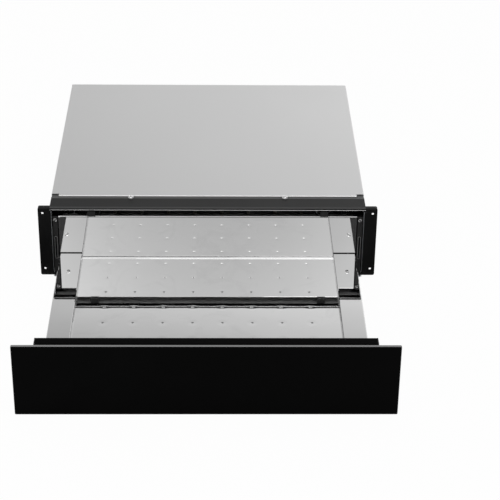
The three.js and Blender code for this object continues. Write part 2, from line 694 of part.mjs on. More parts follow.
// Sections of the right-hand slide, drawn from its back (x = 0) towards the tray
const section = {
  web: RAIL_SHEET / 2,
  outerLip: RAIL_HEIGHT / 2 - RAIL_SHEET / 2,
};
section.outerRow = section.outerLip - RAIL_SHEET / 2 - GAP - BALL_RADIUS;
section.middleLip = section.outerRow - BALL_RADIUS - GAP - RAIL_SHEET / 2;
section.innerRow = section.middleLip - RAIL_SHEET / 2 - GAP - BALL_RADIUS;
section.innerLip = section.innerRow - BALL_RADIUS - GAP - RAIL_SHEET / 2;
section.outerCageWeb = RAIL_SHEET + GAP + CAGE_SHEET / 2;
section.middleWeb = section.outerCageWeb + CAGE_SHEET / 2 + GAP + RAIL_SHEET / 2;
section.innerCageWeb = section.middleWeb + RAIL_SHEET / 2 + GAP + CAGE_SHEET / 2;
section.innerWeb = RAIL_DEPTH - RAIL_SHEET / 2;
section.lipEnd = RAIL_DEPTH - RAIL_SHEET - 2 * GAP;
section.ballX = (section.middleWeb + section.lipEnd) / 2 + 0.6;

function railAt(corners, from, length, radius = BEND_RADIUS) {
  const rail = alongY(foldedSheet(corners, RAIL_SHEET, radius), from, from + length);
  return rail.translate(railBack, 0, railMiddleZ);
}

function outerRail() {
  const { web, outerLip, lipEnd } = section;
  const curl = outerLip - LIP_CURL;
  const corners = [v2(lipEnd, curl), v2(lipEnd, outerLip), v2(web, outerLip), v2(web, -outerLip),
    v2(lipEnd, -outerLip), v2(lipEnd, -curl)];
  return railAt(corners, OUTER_RAIL_SET_BACK, OUTER_RAIL_LENGTH);
}

function middleRail() {
  const { middleWeb, middleLip, lipEnd } = section;
  const end = lipEnd - LIP_CURL;
  const corners = [v2(end, middleLip), v2(middleWeb, middleLip), v2(middleWeb, -middleLip),
    v2(end, -middleLip)];
  return railAt(corners, middleRailFront, MIDDLE_RAIL_LENGTH);
}

function innerRail() {
  const { innerWeb, innerLip, innerCageWeb } = section;
  const end = innerCageWeb + CAGE_SHEET + GAP + RAIL_SHEET;
  const corners = [v2(end, innerLip), v2(innerWeb, innerLip), v2(innerWeb, -innerLip), v2(end, -innerLip)];
  const front = trayFront + GAP;
  return railAt(corners, front, INNER_RAIL_LENGTH);
}

// A ball cage: a thin channel with a row of balls caught in each of its two arms
function ballCage(web, row, from) {
  const end = section.ballX + BALL_RADIUS + 0.5;
  const corners = [v2(end, row), v2(web, row), v2(web, -row), v2(end, -row)];
  const cage = alongY(foldedSheet(corners, CAGE_SHEET, 0.6, 1), from, from + CAGE_LENGTH);
  const pitch = CAGE_LENGTH / BALLS_PER_ROW;
  const balls = [];
  for (let i = 0; i < BALLS_PER_ROW; i += 1) {
    for (const side of [-1, 1]) {
      const ball = new THREE.IcosahedronGeometry(BALL_RADIUS, 0);
      balls.push(ball.translate(section.ballX, from + (i + 0.5) * pitch, side * row));
    }
  }
  return join(cage, ...balls).translate(railBack, 0, railMiddleZ);
}

const middleRailRear = middleRailFront + MIDDLE_RAIL_LENGTH;
const outerCageFrom = (OUTER_RAIL_SET_BACK + middleRailRear - CAGE_LENGTH) / 2;
const innerCageFrom = drawerOffset + trayFront + INNER_RAIL_LENGTH - CAGE_LENGTH - CAGE_INSET;

addPair(cabinet, 'outer_rail', outerRail(), ZINC_STEEL);
addPair(cabinet, 'middle_rail', middleRail(), ZINC_STEEL);
addPair(drawer, 'inner_rail', innerRail(), ZINC_STEEL);
const outerBallCage = ballCage(section.outerCageWeb, section.outerRow, outerCageFrom);
const innerBallCage = ballCage(section.innerCageWeb, section.innerRow, innerCageFrom);
addPair(cabinet, 'outer_ball_cage', outerBallCage, BALL_STEEL);
addPair(cabinet, 'inner_ball_cage', innerBallCage, BALL_STEEL);

// ---------------------------------------------------------------- drawer front

function glassPanel() {
  const half = PANEL_WIDTH / 2 - PANEL_ARRIS;
  const outline = roundedRectangle(-half, PANEL_LIFT + PANEL_ARRIS, half, panelTop - PANEL_ARRIS, PANEL_CORNER);
  const plate = new THREE.ExtrudeGeometry(outline, {
    depth: PANEL_THICKNESS - 2 * PANEL_ARRIS,
    bevelThickness: PANEL_ARRIS,
    bevelSize: PANEL_ARRIS,
    bevelSegments: 1,
    curveSegments: 4,
  });
  return plate.rotateX(Math.PI / 2).translate(0, PANEL_THICKNESS - PANEL_ARRIS, 0);
}

// A strip of mounting tape between the glass and its carrier
function panelTape(low) {
  const half = BEAM_WIDTH / 2 - TAPE_MARGIN;
  const front = PANEL_THICKNESS + GAP;
  return block(-half, half, front, front + TAPE_THICKNESS, low, low + TAPE_WIDTH);
}

// Box-section carrier, rolled from one sheet with its seam underneath
function frontBeam() {
  const y0 = beamFront + BEAM_SHEET / 2;
  const y1 = beamRear - BEAM_SHEET / 2;
  const low = BEAM_BOTTOM + BEAM_SHEET / 2;
  const high = panelTop - BEAM_SHEET / 2;
  const corners = [v2(y0 + BEAM_LIP, low), v2(y0, low), v2(y0, high), v2(y1, high), v2(y1, low),
    v2(y1 - BEAM_LIP, low)];
  const half = BEAM_WIDTH / 2 - END_CAP_THICKNESS - GAP;
  return alongX(foldedSheet(corners, BEAM_SHEET, 1.5, 3), -half, half);
}

// Plastic cap with a plug that enters the end of the beam
function rightEndCap() {
  const half = BEAM_WIDTH / 2;
  const inner = half - END_CAP_THICKNESS;
  const outline = roundedRectangle(beamFront, BEAM_BOTTOM, beamRear, panelTop, END_CAP_CORNER);
  const plate = alongX(outline, inner, half, 3);
  const inset = BEAM_SHEET + GAP + PLUG_EASE;
  const plugBottom = BEAM_BOTTOM + inset + PLUG_LIFT;
  const plugOutline = roundedRectangle(beamFront + inset, plugBottom, beamRear - inset, panelTop - inset,
    END_CAP_CORNER);
  return join(plate, alongX(plugOutline, inner - PLUG_LENGTH, half - END_CAP_THICKNESS / 2, 3));
}

function rightBuffer() {
  const seat = GAP / 2;
  const profile = [v2(0, seat), v2(BUFFER_RADIUS, seat), v2(BUFFER_RADIUS, BUFFER_HEIGHT * 0.45),
    v2(BUFFER_RADIUS * 0.6, BUFFER_HEIGHT), v2(0, BUFFER_HEIGHT)];
  const at = v3(BEAM_WIDTH / 2 - BUFFER_INSET, beamRear, panelTop - BUFFER_DROP);
  return turned(profile, 10, at, OUTWARD.back);
}

addPiece(drawer, 'glass_panel', glassPanel(), BLACK_GLASS);
addPiece(drawer, 'lower_tape', panelTape(BEAM_BOTTOM + TAPE_MARGIN), RUBBER);
addPiece(drawer, 'upper_tape', panelTape(panelTop - TAPE_MARGIN - TAPE_WIDTH), RUBBER);
addPiece(drawer, 'front_beam', frontBeam(), DEEP_BLACK_PAINT);
addPair(drawer, 'end_cap', rightEndCap(), BLACK_PLASTIC);
addPair(drawer, 'buffer', rightBuffer(), RUBBER);

// ---------------------------------------------------------------- tray

// One pressed dimple as a shallow turned bowl, either its hollow or its outer skin
function dimple(x, y, wall, top) {
  const floor = FLOOR_TOP - DIMPLE_DEPTH - wall;
  return turned([v2(0, floor), v2(DIMPLE_RADIUS + wall, top), v2(0, top)], 6, v3(x, y, 0), OUTWARD.up);
}

function floorPlate() {
  const half = ledgeInner + FLOOR_MARGIN;
  const z = FLOOR_TOP - SHEET / 2;
  const corners = [v2(-half, z - FLOOR_SIDE_WALL), v2(-half, z), v2(half, z), v2(half, z - FLOOR_SIDE_WALL)];
  const plate = alongY(foldedSheet(corners, SHEET), trayFront, floorRear);
  const bowls = [];
  const hollows = [];
  for (let row = 0; row < DIMPLE_ROWS; row += 1) {
    const y = trayRear - DIMPLE_REAR_MARGIN - row * DIMPLE_ROW_PITCH;
    for (let column = 0; column < DIMPLE_COLUMNS; column += 1) {
      const x = (column - (DIMPLE_COLUMNS - 1) / 2) * DIMPLE_PITCH;
      bowls.push(dimple(x, y, SHEET * 0.7, z));
      hollows.push(dimple(x, y, 0, FLOOR_TOP + 0.01));
    }
  }
  return cut(join(plate, together(bowls)), together(hollows));
}

// Ledge over the slide: a foot on the floor, a step up, the flat top and the outer skirt
function rightLedge() {
  const foot = FLOOR_TOP + GAP + SHEET / 2;
  const inner = ledgeInner + SHEET / 2;
  const outer = trayHalf - SHEET / 2;
  const top = ledgeTop - SHEET / 2;
  const corners = [v2(inner + LEDGE_FOOT, foot), v2(inner, foot), v2(inner, top), v2(outer, top),
    v2(outer, SKIRT_BOTTOM)];
  return alongY(foldedSheet(corners, SHEET, 1, 3), trayFront, trayRear - LEDGE_REAR_GAP);
}

const wallScrews = [-1, 1].map((side) => v3(side * (trayHalf - WALL_SCREW_INSET), trayRear, WALL_SCREW_HEIGHT));

// Rear wall of the tray: folded back at the top, rounded into the floor's level at the bottom and
// stepped down there to a foot under the floor; notched below the ledges for the slides
function backWall() {
  const y = trayRear + SHEET / 2;
  const top = WALL_TOP - SHEET / 2;
  const level = FLOOR_TOP - SHEET / 2;
  const foot = level - SHEET - GAP;
  const step = y - FOOT_FLAT;
  const corners = [v2(y - WALL_FOOT, foot), v2(step - FOOT_STEP, foot), v2(step, level), v2(y, level),
    v2(y, top), v2(y + WALL_FOLD, top)];
  const wall = alongX(foldedSheet(corners, SHEET, WALL_BEND, 4), -trayHalf, trayHalf);
  const notchFrom = ledgeInner + FLOOR_MARGIN - SHEET;
  const notches = [-1, 1].map((side) => {
    const x0 = side > 0 ? notchFrom : -trayHalf - 1;
    return block(x0, x0 + trayHalf + 1 - notchFrom, y - WALL_FOOT - 2, y + 2, foot - 2, ledgeTop + GAP);
  });
  return cut(wall, ...notches, ...wallScrews.map((at) => screwHole(at, OUTWARD.front)));
}

addPiece(drawer, 'floor_plate', floorPlate(), MIRROR_STEEL);
addPair(drawer, 'ledge', rightLedge(), MIRROR_STEEL);
addPiece(drawer, 'back_wall', backWall(), MIRROR_STEEL);
addPair(drawer, 'wall_screw', screw(wallScrews[1], OUTWARD.front, 3), BRIGHT_SCREW);

// ---------------------------------------------------------------- heater

// A smooth run through stations: straight between far ones, stepped closely round the bends
class StationLine extends THREE.Curve {
  constructor(stations) {
    super();
    this.stations = stations;
  }

  getPoint(share) {
    const along = share * (this.stations.length - 1);
    const index = Math.min(Math.floor(along), this.stations.length - 2);
    return this.stations[index].clone().lerp(this.stations[index + 1], along - index);
  }

  getPointAt(share) {
    return this.getPoint(share);
  }

  getTangentAt(share) {
    const at = Math.round(share * (this.stations.length - 1));
    const before = this.stations[Math.max(at - 1, 0)];
    const after = this.stations[Math.min(at + 1, this.stations.length - 1)];
    const here = this.stations[at];
    const first = here.clone().sub(at > 0 ? before : here).normalize();
    const second = after.clone().sub(here).normalize();
    return first.add(second).normalize();
  }
}

function sweptRod(stations, radius, sides) {
  return new THREE.ExtrudeGeometry(polygon(radius, sides), {
    steps: stations.length - 1,
    extrudePath: new StationLine(stations),
  });
}

function polygon(radius, sides) {
  const corners = [];
  for (let i = 0; i < sides; i += 1) {
    const angle = (2 * Math.PI * i) / sides;
    corners.push(v2(radius * Math.cos(angle), radius * Math.sin(angle)));
  }
  return new THREE.Shape(corners);
}

const tubeX = (pass) => (pass - (TUBE_PASSES - 1) / 2) * tubePitch;

// The element's centre line: passes to and fro, joined by half circles
function heaterStations() {
  const radius = tubePitch / 2;
  const steps = 6;
  const stations = [v3(tubeX(0), TUBE_TAIL, TUBE_HEIGHT)];
  for (let pass = 0; pass < TUBE_PASSES - 1; pass += 1) {
    const forward = pass % 2 === 0;
    const y = forward ? TUBE_FRONT : TUBE_REAR;
    for (let k = 0; k <= steps; k += 1) {
      const angle = (Math.PI * k) / steps;
      const swing = Math.sin(angle) * radius * (forward ? -1 : 1);
      stations.push(v3(tubeX(pass) + radius * (1 - Math.cos(angle)), y + swing, TUBE_HEIGHT));
    }
  }
  stations.push(v3(tubeX(TUBE_PASSES - 1), TUBE_TAIL, TUBE_HEIGHT));
  return stations;
}

function insulationMat() {
  const outline = roundedRectangle(-matHalf, MAT_FRONT, matHalf, MAT_FRONT + MAT_LENGTH, 8);
  return alongZ(outline, footUnderside, footUnderside + MAT_THICKNESS, 3);
}

function heatReflector() {
  const z = reflectorUnderside + SHEET / 2;
  const rim = z + REFLECTOR_WALL;
  const corners = [v2(-matHalf, rim), v2(-matHalf, z), v2(matHalf, z), v2(matHalf, rim)];
  return alongY(foldedSheet(corners, SHEET), MAT_FRONT, MAT_FRONT + MAT_LENGTH);
}

// One strip that stands on the reflector and arches over every pass of the tube
function tubeRack(y) {
  const low = reflectorTop + GAP + CLIP_SHEET / 2;
  const arch = TUBE_RADIUS + GAP + CLIP_SHEET / 2;
  const top = TUBE_HEIGHT + arch;
  const line = [v2(tubeX(0) - arch - CLIP_WIDTH, low)];
  for (let pass = 0; pass < TUBE_PASSES; pass += 1) {
    const x = tubeX(pass);
    line.push(v2(x - arch, low), v2(x - arch, top), v2(x + arch, top), v2(x + arch, low));
  }
  line.push(v2(tubeX(TUBE_PASSES - 1) + arch + CLIP_WIDTH, low));
  return alongY(foldedSheet(line, CLIP_SHEET, 1.6, 1), y - CLIP_WIDTH / 2, y + CLIP_WIDTH / 2);
}

// Disc thermostat with a mounting ring, standing on the reflector in a rear bend of the tube
function thermostatPuck(x, radius, height) {
  const low = reflectorTop + GAP;
  const profile = [v2(0, low), v2(radius + 4, low), v2(radius + 4, low + 1), v2(radius, low + 1),
    v2(radius, low + height * 0.7), v2(radius - 2, low + height), v2(0, low + height)];
  return turned(profile, 16, v3(x, TUBE_REAR, 0), OUTWARD.up);
}

// Three-way terminal block: a stepped body with wire entries and clamp screws cut in
function terminalBlock() {
  const low = footUnderside;
  const front = blockY - BLOCK_HALF_DEPTH;
  const rear = blockY + BLOCK_HALF_DEPTH;
  const step = low + BLOCK_STEP_RISE;
  const top = low + BLOCK_HEIGHT;
  const profile = new THREE.Shape([v2(front, low), v2(rear, low), v2(rear, step), v2(rear - BLOCK_STEP, step),
    v2(rear - BLOCK_STEP, top), v2(front + BLOCK_STEP, top), v2(front + BLOCK_STEP, step), v2(front, step)]);
  const body = alongX(profile, BLOCK_X - BLOCK_HALF_WIDTH, BLOCK_X + BLOCK_HALF_WIDTH);
  const entries = [];
  for (let way = -1; way <= 1; way += 1) {
    const x = BLOCK_X + way * BLOCK_PITCH;
    const entry = circleShape(x, low + BLOCK_ENTRY_RISE, LEAD_RADIUS + GAP);
    entries.push(alongY(entry, front - CUT_MARGIN, rear + CUT_MARGIN, 2));
    entries.push(alongZ(circleShape(x, blockY, BLOCK_SCREW_RADIUS), low + BLOCK_STEP_RISE + 1,
      low + BLOCK_HEIGHT + CUT_MARGIN, 2));
  }
  return cut(body, ...entries);
}

// Screw-in gland in the back panel: flange, hexagon and bore, turned round the cable's axis
function cableGland() {
  const bore = 3.8;
  const neck = GLAND_RADIUS;
  const profile = [v2(bore, -8), v2(neck, -8), v2(neck, SHEET / 2), v2(neck + 4, SHEET / 2 + GAP),
    v2(neck + 4, 4), v2(neck + 0.5, 4.6), v2(neck + 0.5, 10), v2(neck - 2, 14), v2(bore, 14), v2(bore, -8)];
  return turned(profile, 12, v3(GLAND_X, backFront + SHEET / 2, GLAND_HEIGHT), OUTWARD.back);
}

// Silicone lead from one of the element's tails to its way of the terminal block
function heaterLead(way) {
  const start = v3(way * tubeX(TUBE_PASSES - 1), TUBE_TAIL + GAP, TUBE_HEIGHT);
  const endX = BLOCK_X + way * BLOCK_PITCH;
  const end = v3(endX, blockY - BLOCK_HALF_DEPTH - GAP, footUnderside + BLOCK_ENTRY_RISE);
  const turn = Math.sign(endX - start.x);
  const lane = (start.y + end.y) / 2;
  const route = new THREE.CatmullRomCurve3([start, v3(start.x, start.y + 8, start.z),
    v3(start.x + turn * 8, lane, 10), v3((start.x + endX) / 2, lane + 4, 5),
    v3(endX - turn * 8, lane + 8, 5), v3(endX, end.y - 8, end.z), end]);
  return sweptRod(route.getPoints(22), LEAD_RADIUS, 6);
}

addPiece(cabinet, 'insulation_mat', insulationMat(), MINERAL_WOOL);
addPiece(cabinet, 'heat_reflector', heatReflector(), ZINC_STEEL);
addPiece(cabinet, 'heating_element', sweptRod(heaterStations(), TUBE_RADIUS, 8), HEATER_SHEATH);
addPiece(cabinet, 'front_tube_rack', tubeRack(TUBE_FRONT + RACK_INSET), ZINC_STEEL);
addPiece(cabinet, 'rear_tube_rack', tubeRack(TUBE_REAR - RACK_INSET), ZINC_STEEL);
addPiece(cabinet, 'thermostat', thermostatPuck(0, 8, 9), BLACK_PLASTIC);
addPiece(cabinet, 'thermal_cutout', thermostatPuck(2 * tubePitch, 6, 8), CERAMIC);
addPiece(cabinet, 'terminal_block', terminalBlock(), CERAMIC);
addPiece(cabinet, 'cable_gland', cableGland(), BLACK_PLASTIC);
addPiece(cabinet, 'left_heater_lead', heaterLead(-1), SILICONE_LEAD);
addPiece(cabinet, 'right_heater_lead', heaterLead(1), SILICONE_LEAD);

// ---------------------------------------------------------------- push latch

const boreRadius = PLUNGER_RADIUS + PLUNGER_CLEARANCE;
const boreEnd = LATCH_FRONT + LATCH_LENGTH * 0.7;
const housingBottom = LATCH_HEIGHT - LATCH_BODY_HEIGHT / 2;

// Folded stand for the latch, screwed to the base pan behind the tray
function latchBracket() {
  const low = footUnderside + BRACKET_SHEET / 2;
  const high = housingBottom - GAP - BRACKET_SHEET / 2;
  const leg = latchRear - 8;
  const corners = [v2(leg - 30, low), v2(leg, low), v2(leg, high), v2(LATCH_FRONT + 4, high)];
  return alongX(foldedSheet(corners, BRACKET_SHEET, 2), -LATCH_WIDTH / 2 - 4, LATCH_WIDTH / 2 + 4);
}

function latchHousing() {
  const half = LATCH_WIDTH / 2;
  const outline = roundedRectangle(-half, housingBottom, half, housingBottom + LATCH_BODY_HEIGHT, 4);
  const bore = alongY(circleShape(0, LATCH_HEIGHT, boreRadius), LATCH_FRONT - 2, boreEnd, 8);
  return cut(alongY(outline, LATCH_FRONT, latchRear, 3), bore);
}

// Plunger with a magnet face; it is pressed in by the tray's striker
function latchPlunger() {
  const length = boreEnd - plungerTip - LATCH_TRAVEL - 1;
  const profile = [v2(0, 0), v2(PLUNGER_RADIUS - 0.8, 0), v2(PLUNGER_RADIUS, 0.8), v2(PLUNGER_RADIUS, length),
    v2(0, length)];
  return turned(profile, 20, v3(0, plungerTip, LATCH_HEIGHT), OUTWARD.back);
}

// Steel strike plate on the back of the tray's wall
function latchStriker() {
  const plateFront = trayRear + SHEET + GAP;
  const half = STRIKER_WIDTH / 2;
  const rise = STRIKER_HEIGHT / 2;
  const plate = roundedRectangle(-half, LATCH_HEIGHT - rise, half, LATCH_HEIGHT + rise, 4);
  const closedTip = plungerTip - TRAVEL - drawerOffset - PLUNGER_CLEARANCE;
  const pad = circleShape(0, LATCH_HEIGHT, PLUNGER_RADIUS + 2);
  const flat = alongY(plate, plateFront, plateFront + STRIKER_THICKNESS);
  return join(flat, alongY(pad, plateFront + STRIKER_THICKNESS / 2, closedTip, 8));
}

addPiece(cabinet, 'latch_bracket', latchBracket(), ZINC_STEEL);
addPiece(cabinet, 'latch_housing', latchHousing(), GREY_PLASTIC);
addPiece(cabinet, 'latch_plunger', latchPlunger(), BLACK_PLASTIC);
addPiece(drawer, 'latch_striker', latchStriker(), ZINC_STEEL);

export default appliance;
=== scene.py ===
"""Looks of the built-in warming drawer: mirror-polished tray, black glass front, satin casing.

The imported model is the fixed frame. Everything is in metres, in the model's own frame:
+Z up, -Y towards the person who opens the drawer, the origin in the middle of the underside.
"""

import json
import math

import bpy
from mathutils import Matrix, Vector


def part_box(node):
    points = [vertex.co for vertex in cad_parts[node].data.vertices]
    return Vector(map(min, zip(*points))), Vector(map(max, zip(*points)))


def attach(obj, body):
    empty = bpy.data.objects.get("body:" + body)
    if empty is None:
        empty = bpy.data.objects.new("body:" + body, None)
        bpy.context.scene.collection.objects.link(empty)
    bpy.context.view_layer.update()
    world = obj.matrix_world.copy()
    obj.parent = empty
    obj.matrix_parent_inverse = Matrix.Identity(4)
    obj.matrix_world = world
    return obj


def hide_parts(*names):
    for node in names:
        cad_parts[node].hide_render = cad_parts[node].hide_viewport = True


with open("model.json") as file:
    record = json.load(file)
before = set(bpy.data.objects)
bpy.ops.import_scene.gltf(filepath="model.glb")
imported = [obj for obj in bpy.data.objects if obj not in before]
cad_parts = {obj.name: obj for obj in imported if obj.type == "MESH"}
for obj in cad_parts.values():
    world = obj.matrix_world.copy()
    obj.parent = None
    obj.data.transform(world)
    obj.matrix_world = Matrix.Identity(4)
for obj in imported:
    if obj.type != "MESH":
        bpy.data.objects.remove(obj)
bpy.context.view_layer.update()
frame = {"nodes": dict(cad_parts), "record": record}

MM = 0.001

# ---------------------------------------------------------------- places taken from the model

floor_low, floor_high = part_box("floor_plate")
side_low, side_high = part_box("right_side_panel")
cap_low, cap_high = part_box("cap_rail")
ledge_low, ledge_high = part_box("right_ledge")
hanger_low, hanger_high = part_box("right_hanger_screw")
bracket_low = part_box("right_rail_bracket")[0]
back_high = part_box("back_panel")[1]
wall_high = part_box("back_wall")[1]
mat_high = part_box("insulation_mat")[1]
flange_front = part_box("front_frame")[0].y

SHEET = 1 * MM

# Tray wall: its front face, its rim, the foot of its bend and the seam behind the ledges
WALL_FACE = -253 * MM
WALL_RIM_HEIGHT = 1.2 * MM
WALL_RIM_DEPTH = 1.4 * MM
FOOT_REACH = 3 * MM
SEAM_REACH = 0.02 * MM
SEAM_RISE = 1.6 * SHEET

# Cap rail: the flared lower edge, the fold along its front and the strip before the cover
FLARE_RUB = 0.9 * MM
CAP_FOLD_DEPTH = 3 * MM
CAP_FOLD_HEIGHT = 2.4 * MM
CAP_STRIP = 34.5 * MM

# The height under which the top rail is only tabs, and the depth of a bracket's worn slot rim
RAIL_UNDERSIDE = 131.4 * MM
SLOT_RIM = 0.6 * MM

# A face is an underside or faces up by its normal's Z, and is part of the glass's edge by its Y.
# It is turned inwards by the product of its normal's X and its place's X
UNDERSIDE = -0.5
UPWARD = 0.3
GLASS_EDGE = 0.9
INWARD = -0.1

# Casing screws: height of the lower row, how far the back ones sit in and down, and where the
# side ones sit along the casing's depth
SIDE_FLANGE = 5 * MM
SCREW_ROW = 7 * MM
BACK_SCREW_INSET = 40 * MM
BACK_SCREW_DROP = 16 * MM
SIDE_SCREW_SHARES = (0.12, 0.5, 0.88)

# Pan screws, and how far the casing's ones stand off its sheet
HEAD_RADIUS = 3.4 * MM
HEAD_HEIGHT = 2.2 * MM
RECESS_LENGTH = 3.6 * MM
RECESS_WIDTH = 0.9 * MM
HEAD_FACETS = 28
DOME_RINGS = 5
SEAT = 0.05 * MM

# Dimples pressed into the tray's floor, counted from its rear edge. Each sits in a wider, fainter
# draw of the sheet
DIMPLE_COLUMNS = 8
DIMPLE_ROWS = 8
DIMPLE_PITCH_ACROSS = 49.5 * MM
DIMPLE_PITCH_ALONG = 48.8 * MM
DIMPLE_REAR_MARGIN = 16.1 * MM
DIMPLE_RADIUS = 2.6 * MM
DIMPLE_DEPTH = 0.56 * MM
DRAW_RADIUS = 11 * MM
DRAW_DEPTH = 0.02 * MM
DIMPLE_FACETS = 24
DIMPLE_RINGS = 16
DIMPLE_WELD = 0.01 * MM
SIDE_EDGE_REACH = 0.1 * MM

# ---------------------------------------------------------------- building node trees


class Web:
    """A shader or geometry node tree while it is being built."""

    def __init__(self, tree):
        self.tree = tree

    def add(self, kind, inputs=None, **settings):
        node = self.tree.nodes.new(kind)
        for key, value in settings.items():
            setattr(node, key, value)
        for key, value in (inputs or {}).items():
            self.feed(node.inputs[key], value)
        return node

    def feed(self, socket, value):
        if isinstance(value, bpy.types.NodeSocket):
            self.tree.links.new(value, socket)
        elif isinstance(value, bpy.types.Node):
            self.tree.links.new(value.outputs[0], socket)
        else:
            socket.default_value = value

    def math(self, operation, first, second=0.0):
        return self.add("ShaderNodeMath", {0: first, 1: second}, operation=operation).outputs[0]

    def times(self, first, second):
        """The product; of two masks, where both hold."""
        return self.math("MULTIPLY", first, second)

    def size(self, value):
        return self.math("ABSOLUTE", value)

    def below(self, value, limit):
        return self.math("LESS_THAN", value, limit)

    def above(self, value, limit):
        return self.math("GREATER_THAN", value, limit)

    def spread(self, value, low, high, from_low=0.0, from_high=1.0):
        """value, taken from one range to another."""
        return self.add("ShaderNodeMapRange", {
            "Value": value, "From Min": from_low, "From Max": from_high,
            "To Min": low, "To Max": high,
        }).outputs["Result"]

    def blend(self, share, first, second):
        """Goes from the first colour to the second with the share."""
        node = self.add("ShaderNodeMix", {0: share, 6: first, 7: second}, data_type="RGBA")
        return node.outputs[2]

    def between(self, share, first, second):
        """Goes from the first number to the second with the share."""
        node = self.add("ShaderNodeMix", {0: share, 2: first, 3: second}, data_type="FLOAT")
        return node.outputs[0]

    def noise(self, place, scale, **inputs):
        values = {"Vector": place, "Scale": scale, **inputs}
        return self.add("ShaderNodeTexNoise", values).outputs["Fac"]

    def axes(self, vector):
        """The X, Y and Z of a vector."""
        return self.add("ShaderNodeSeparateXYZ", {0: vector}).outputs

    def facing(self):
        """The X, Y and Z of the surface's normal."""
        return self.axes(self.add("ShaderNodeNewGeometry").outputs["Normal"])

    def vector(self, **axes):
        return self.add("ShaderNodeCombineXYZ", axes).outputs[0]


def new_group(name, inputs, outputs, kind="ShaderNodeTree"):
    """A node group with named sockets; inputs maps a name to its socket kind and default."""
    tree = bpy.data.node_groups.new(name, kind)
    for label, (socket_kind, default) in inputs.items():
        socket = tree.interface.new_socket(label, in_out="INPUT",
                                           socket_type="NodeSocket" + socket_kind)
        if default is not None:
            socket.default_value = default
    for label, socket_kind in outputs.items():
        tree.interface.new_socket(label, in_out="OUTPUT", socket_type="NodeSocket" + socket_kind)
    web = Web(tree)
    return web, web.add("NodeGroupInput").outputs, web.add("NodeGroupOutput").inputs


# ---------------------------------------------------------------- effects shared by materials

# The part of a noise's range, round its middle, that most of its surface falls in
NOISE_LOW, NOISE_HIGH = 0.3, 0.7


def powder_grain():
    """The fine pebbled skin of powder coat, enamel and moulded plastic."""
    web, given, out = new_group("Powder grain", {
        "Place": ("Vector", None), "Grain Size": ("Float", 0.0006),
        "Roughness Low": ("Float", 0.3), "Roughness High": ("Float", 0.45),
    }, {"Height": "Float", "Roughness": "Float", "Tone": "Float"})
    broad_scale, broad_part, fine_part = 9.0, 0.7, 0.3
    fine = web.noise(given["Place"], web.math("DIVIDE", 1.0, given["Grain Size"]), Detail=2.0)
    broad = web.noise(given["Place"], broad_scale, Detail=4.0)
    mixed = web.math("ADD", web.times(broad, broad_part), web.times(fine, fine_part))
    roughness = web.spread(mixed, given["Roughness Low"], given["Roughness High"],
                           NOISE_LOW, NOISE_HIGH)
    web.feed(out["Height"], fine)
    web.feed(out["Roughness"], roughness)
    web.feed(out["Tone"], broad)
    return web.tree


def drawn_grain():
    """Long fine scratches left by rolling, brushing or drawing the metal."""
    web, given, out = new_group("Drawn grain", {
        "Place": ("Vector", None), "Stretch": ("Vector", (20.0, 1500.0, 1500.0)),
        "Roughness Low": ("Float", 0.3), "Roughness High": ("Float", 0.45),
    }, {"Height": "Float", "Roughness": "Float", "Tone": "Float"})
    cloud_scale, line_part, cloud_part = 5.0, 0.6, 0.4
    mixed_low, mixed_high = 0.35, 0.65
    stretched = web.add("ShaderNodeVectorMath", {0: given["Place"], 1: given["Stretch"]},
                        operation="MULTIPLY")
    lines = web.noise(stretched, 1.0, Detail=3.0)
    cloud = web.noise(given["Place"], cloud_scale, Detail=3.0)
    mixed = web.math("ADD", web.times(lines, line_part), web.times(cloud, cloud_part))
    roughness = web.spread(mixed, given["Roughness Low"], given["Roughness High"],
                           mixed_low, mixed_high)
    web.feed(out["Height"], lines)
    web.feed(out["Roughness"], roughness)
    web.feed(out["Tone"], mixed)
    return web.tree


def sheet_waves():
    """The slow unevenness that a flat thin sheet shows in its reflections."""
    web, given, out = new_group("Sheet waves", {
        "Place": ("Vector", None), "Span": ("Float", 0.09),
    }, {"Height": "Float"})
    quick_scale, quick_part = 5.0, 0.06
    scale = web.math("DIVIDE", 1.0, given["Span"])
    slow = web.noise(given["Place"], scale, Detail=1.0)
    quick = web.noise(given["Place"], web.times(scale, quick_scale), Detail=1.0)
    web.feed(out["Height"], web.math("ADD", slow, web.times(quick, quick_part)))
    return web.tree


def handling_marks():
    """Faint wiped smears that dull a polished surface in places."""
    web, given, out = new_group("Handling marks", {
        "Place": ("Vector", None), "Smear Size": ("Float", 0.05),
        "Roughness Low": ("Float", 0.02), "Roughness High": ("Float", 0.08),
    }, {"Roughness": "Float", "Smear": "Float"})
    smear_start, smear_full = 0.45, 0.75
    swirl = web.noise(given["Place"], web.math("DIVIDE", 1.0, given["Smear Size"]),
                      Detail=6.0, Roughness=0.6, Distortion=1.2)
    smear = web.spread(swirl, 0.0, 1.0, smear_start, smear_full)
    roughness = web.spread(smear, given["Roughness Low"], given["Roughness High"])
    web.feed(out["Roughness"], roughness)
    web.feed(out["Smear"], smear)
    return web.tree


POWDER_GRAIN = powder_grain()
DRAWN_GRAIN = drawn_grain()
SHEET_WAVES = sheet_waves()
HANDLING_MARKS = handling_marks()

# ---------------------------------------------------------------- materials


def rgb(red, green, blue):
    return (red, green, blue, 1.0)


def grey(level):
    return rgb(level, level, level)


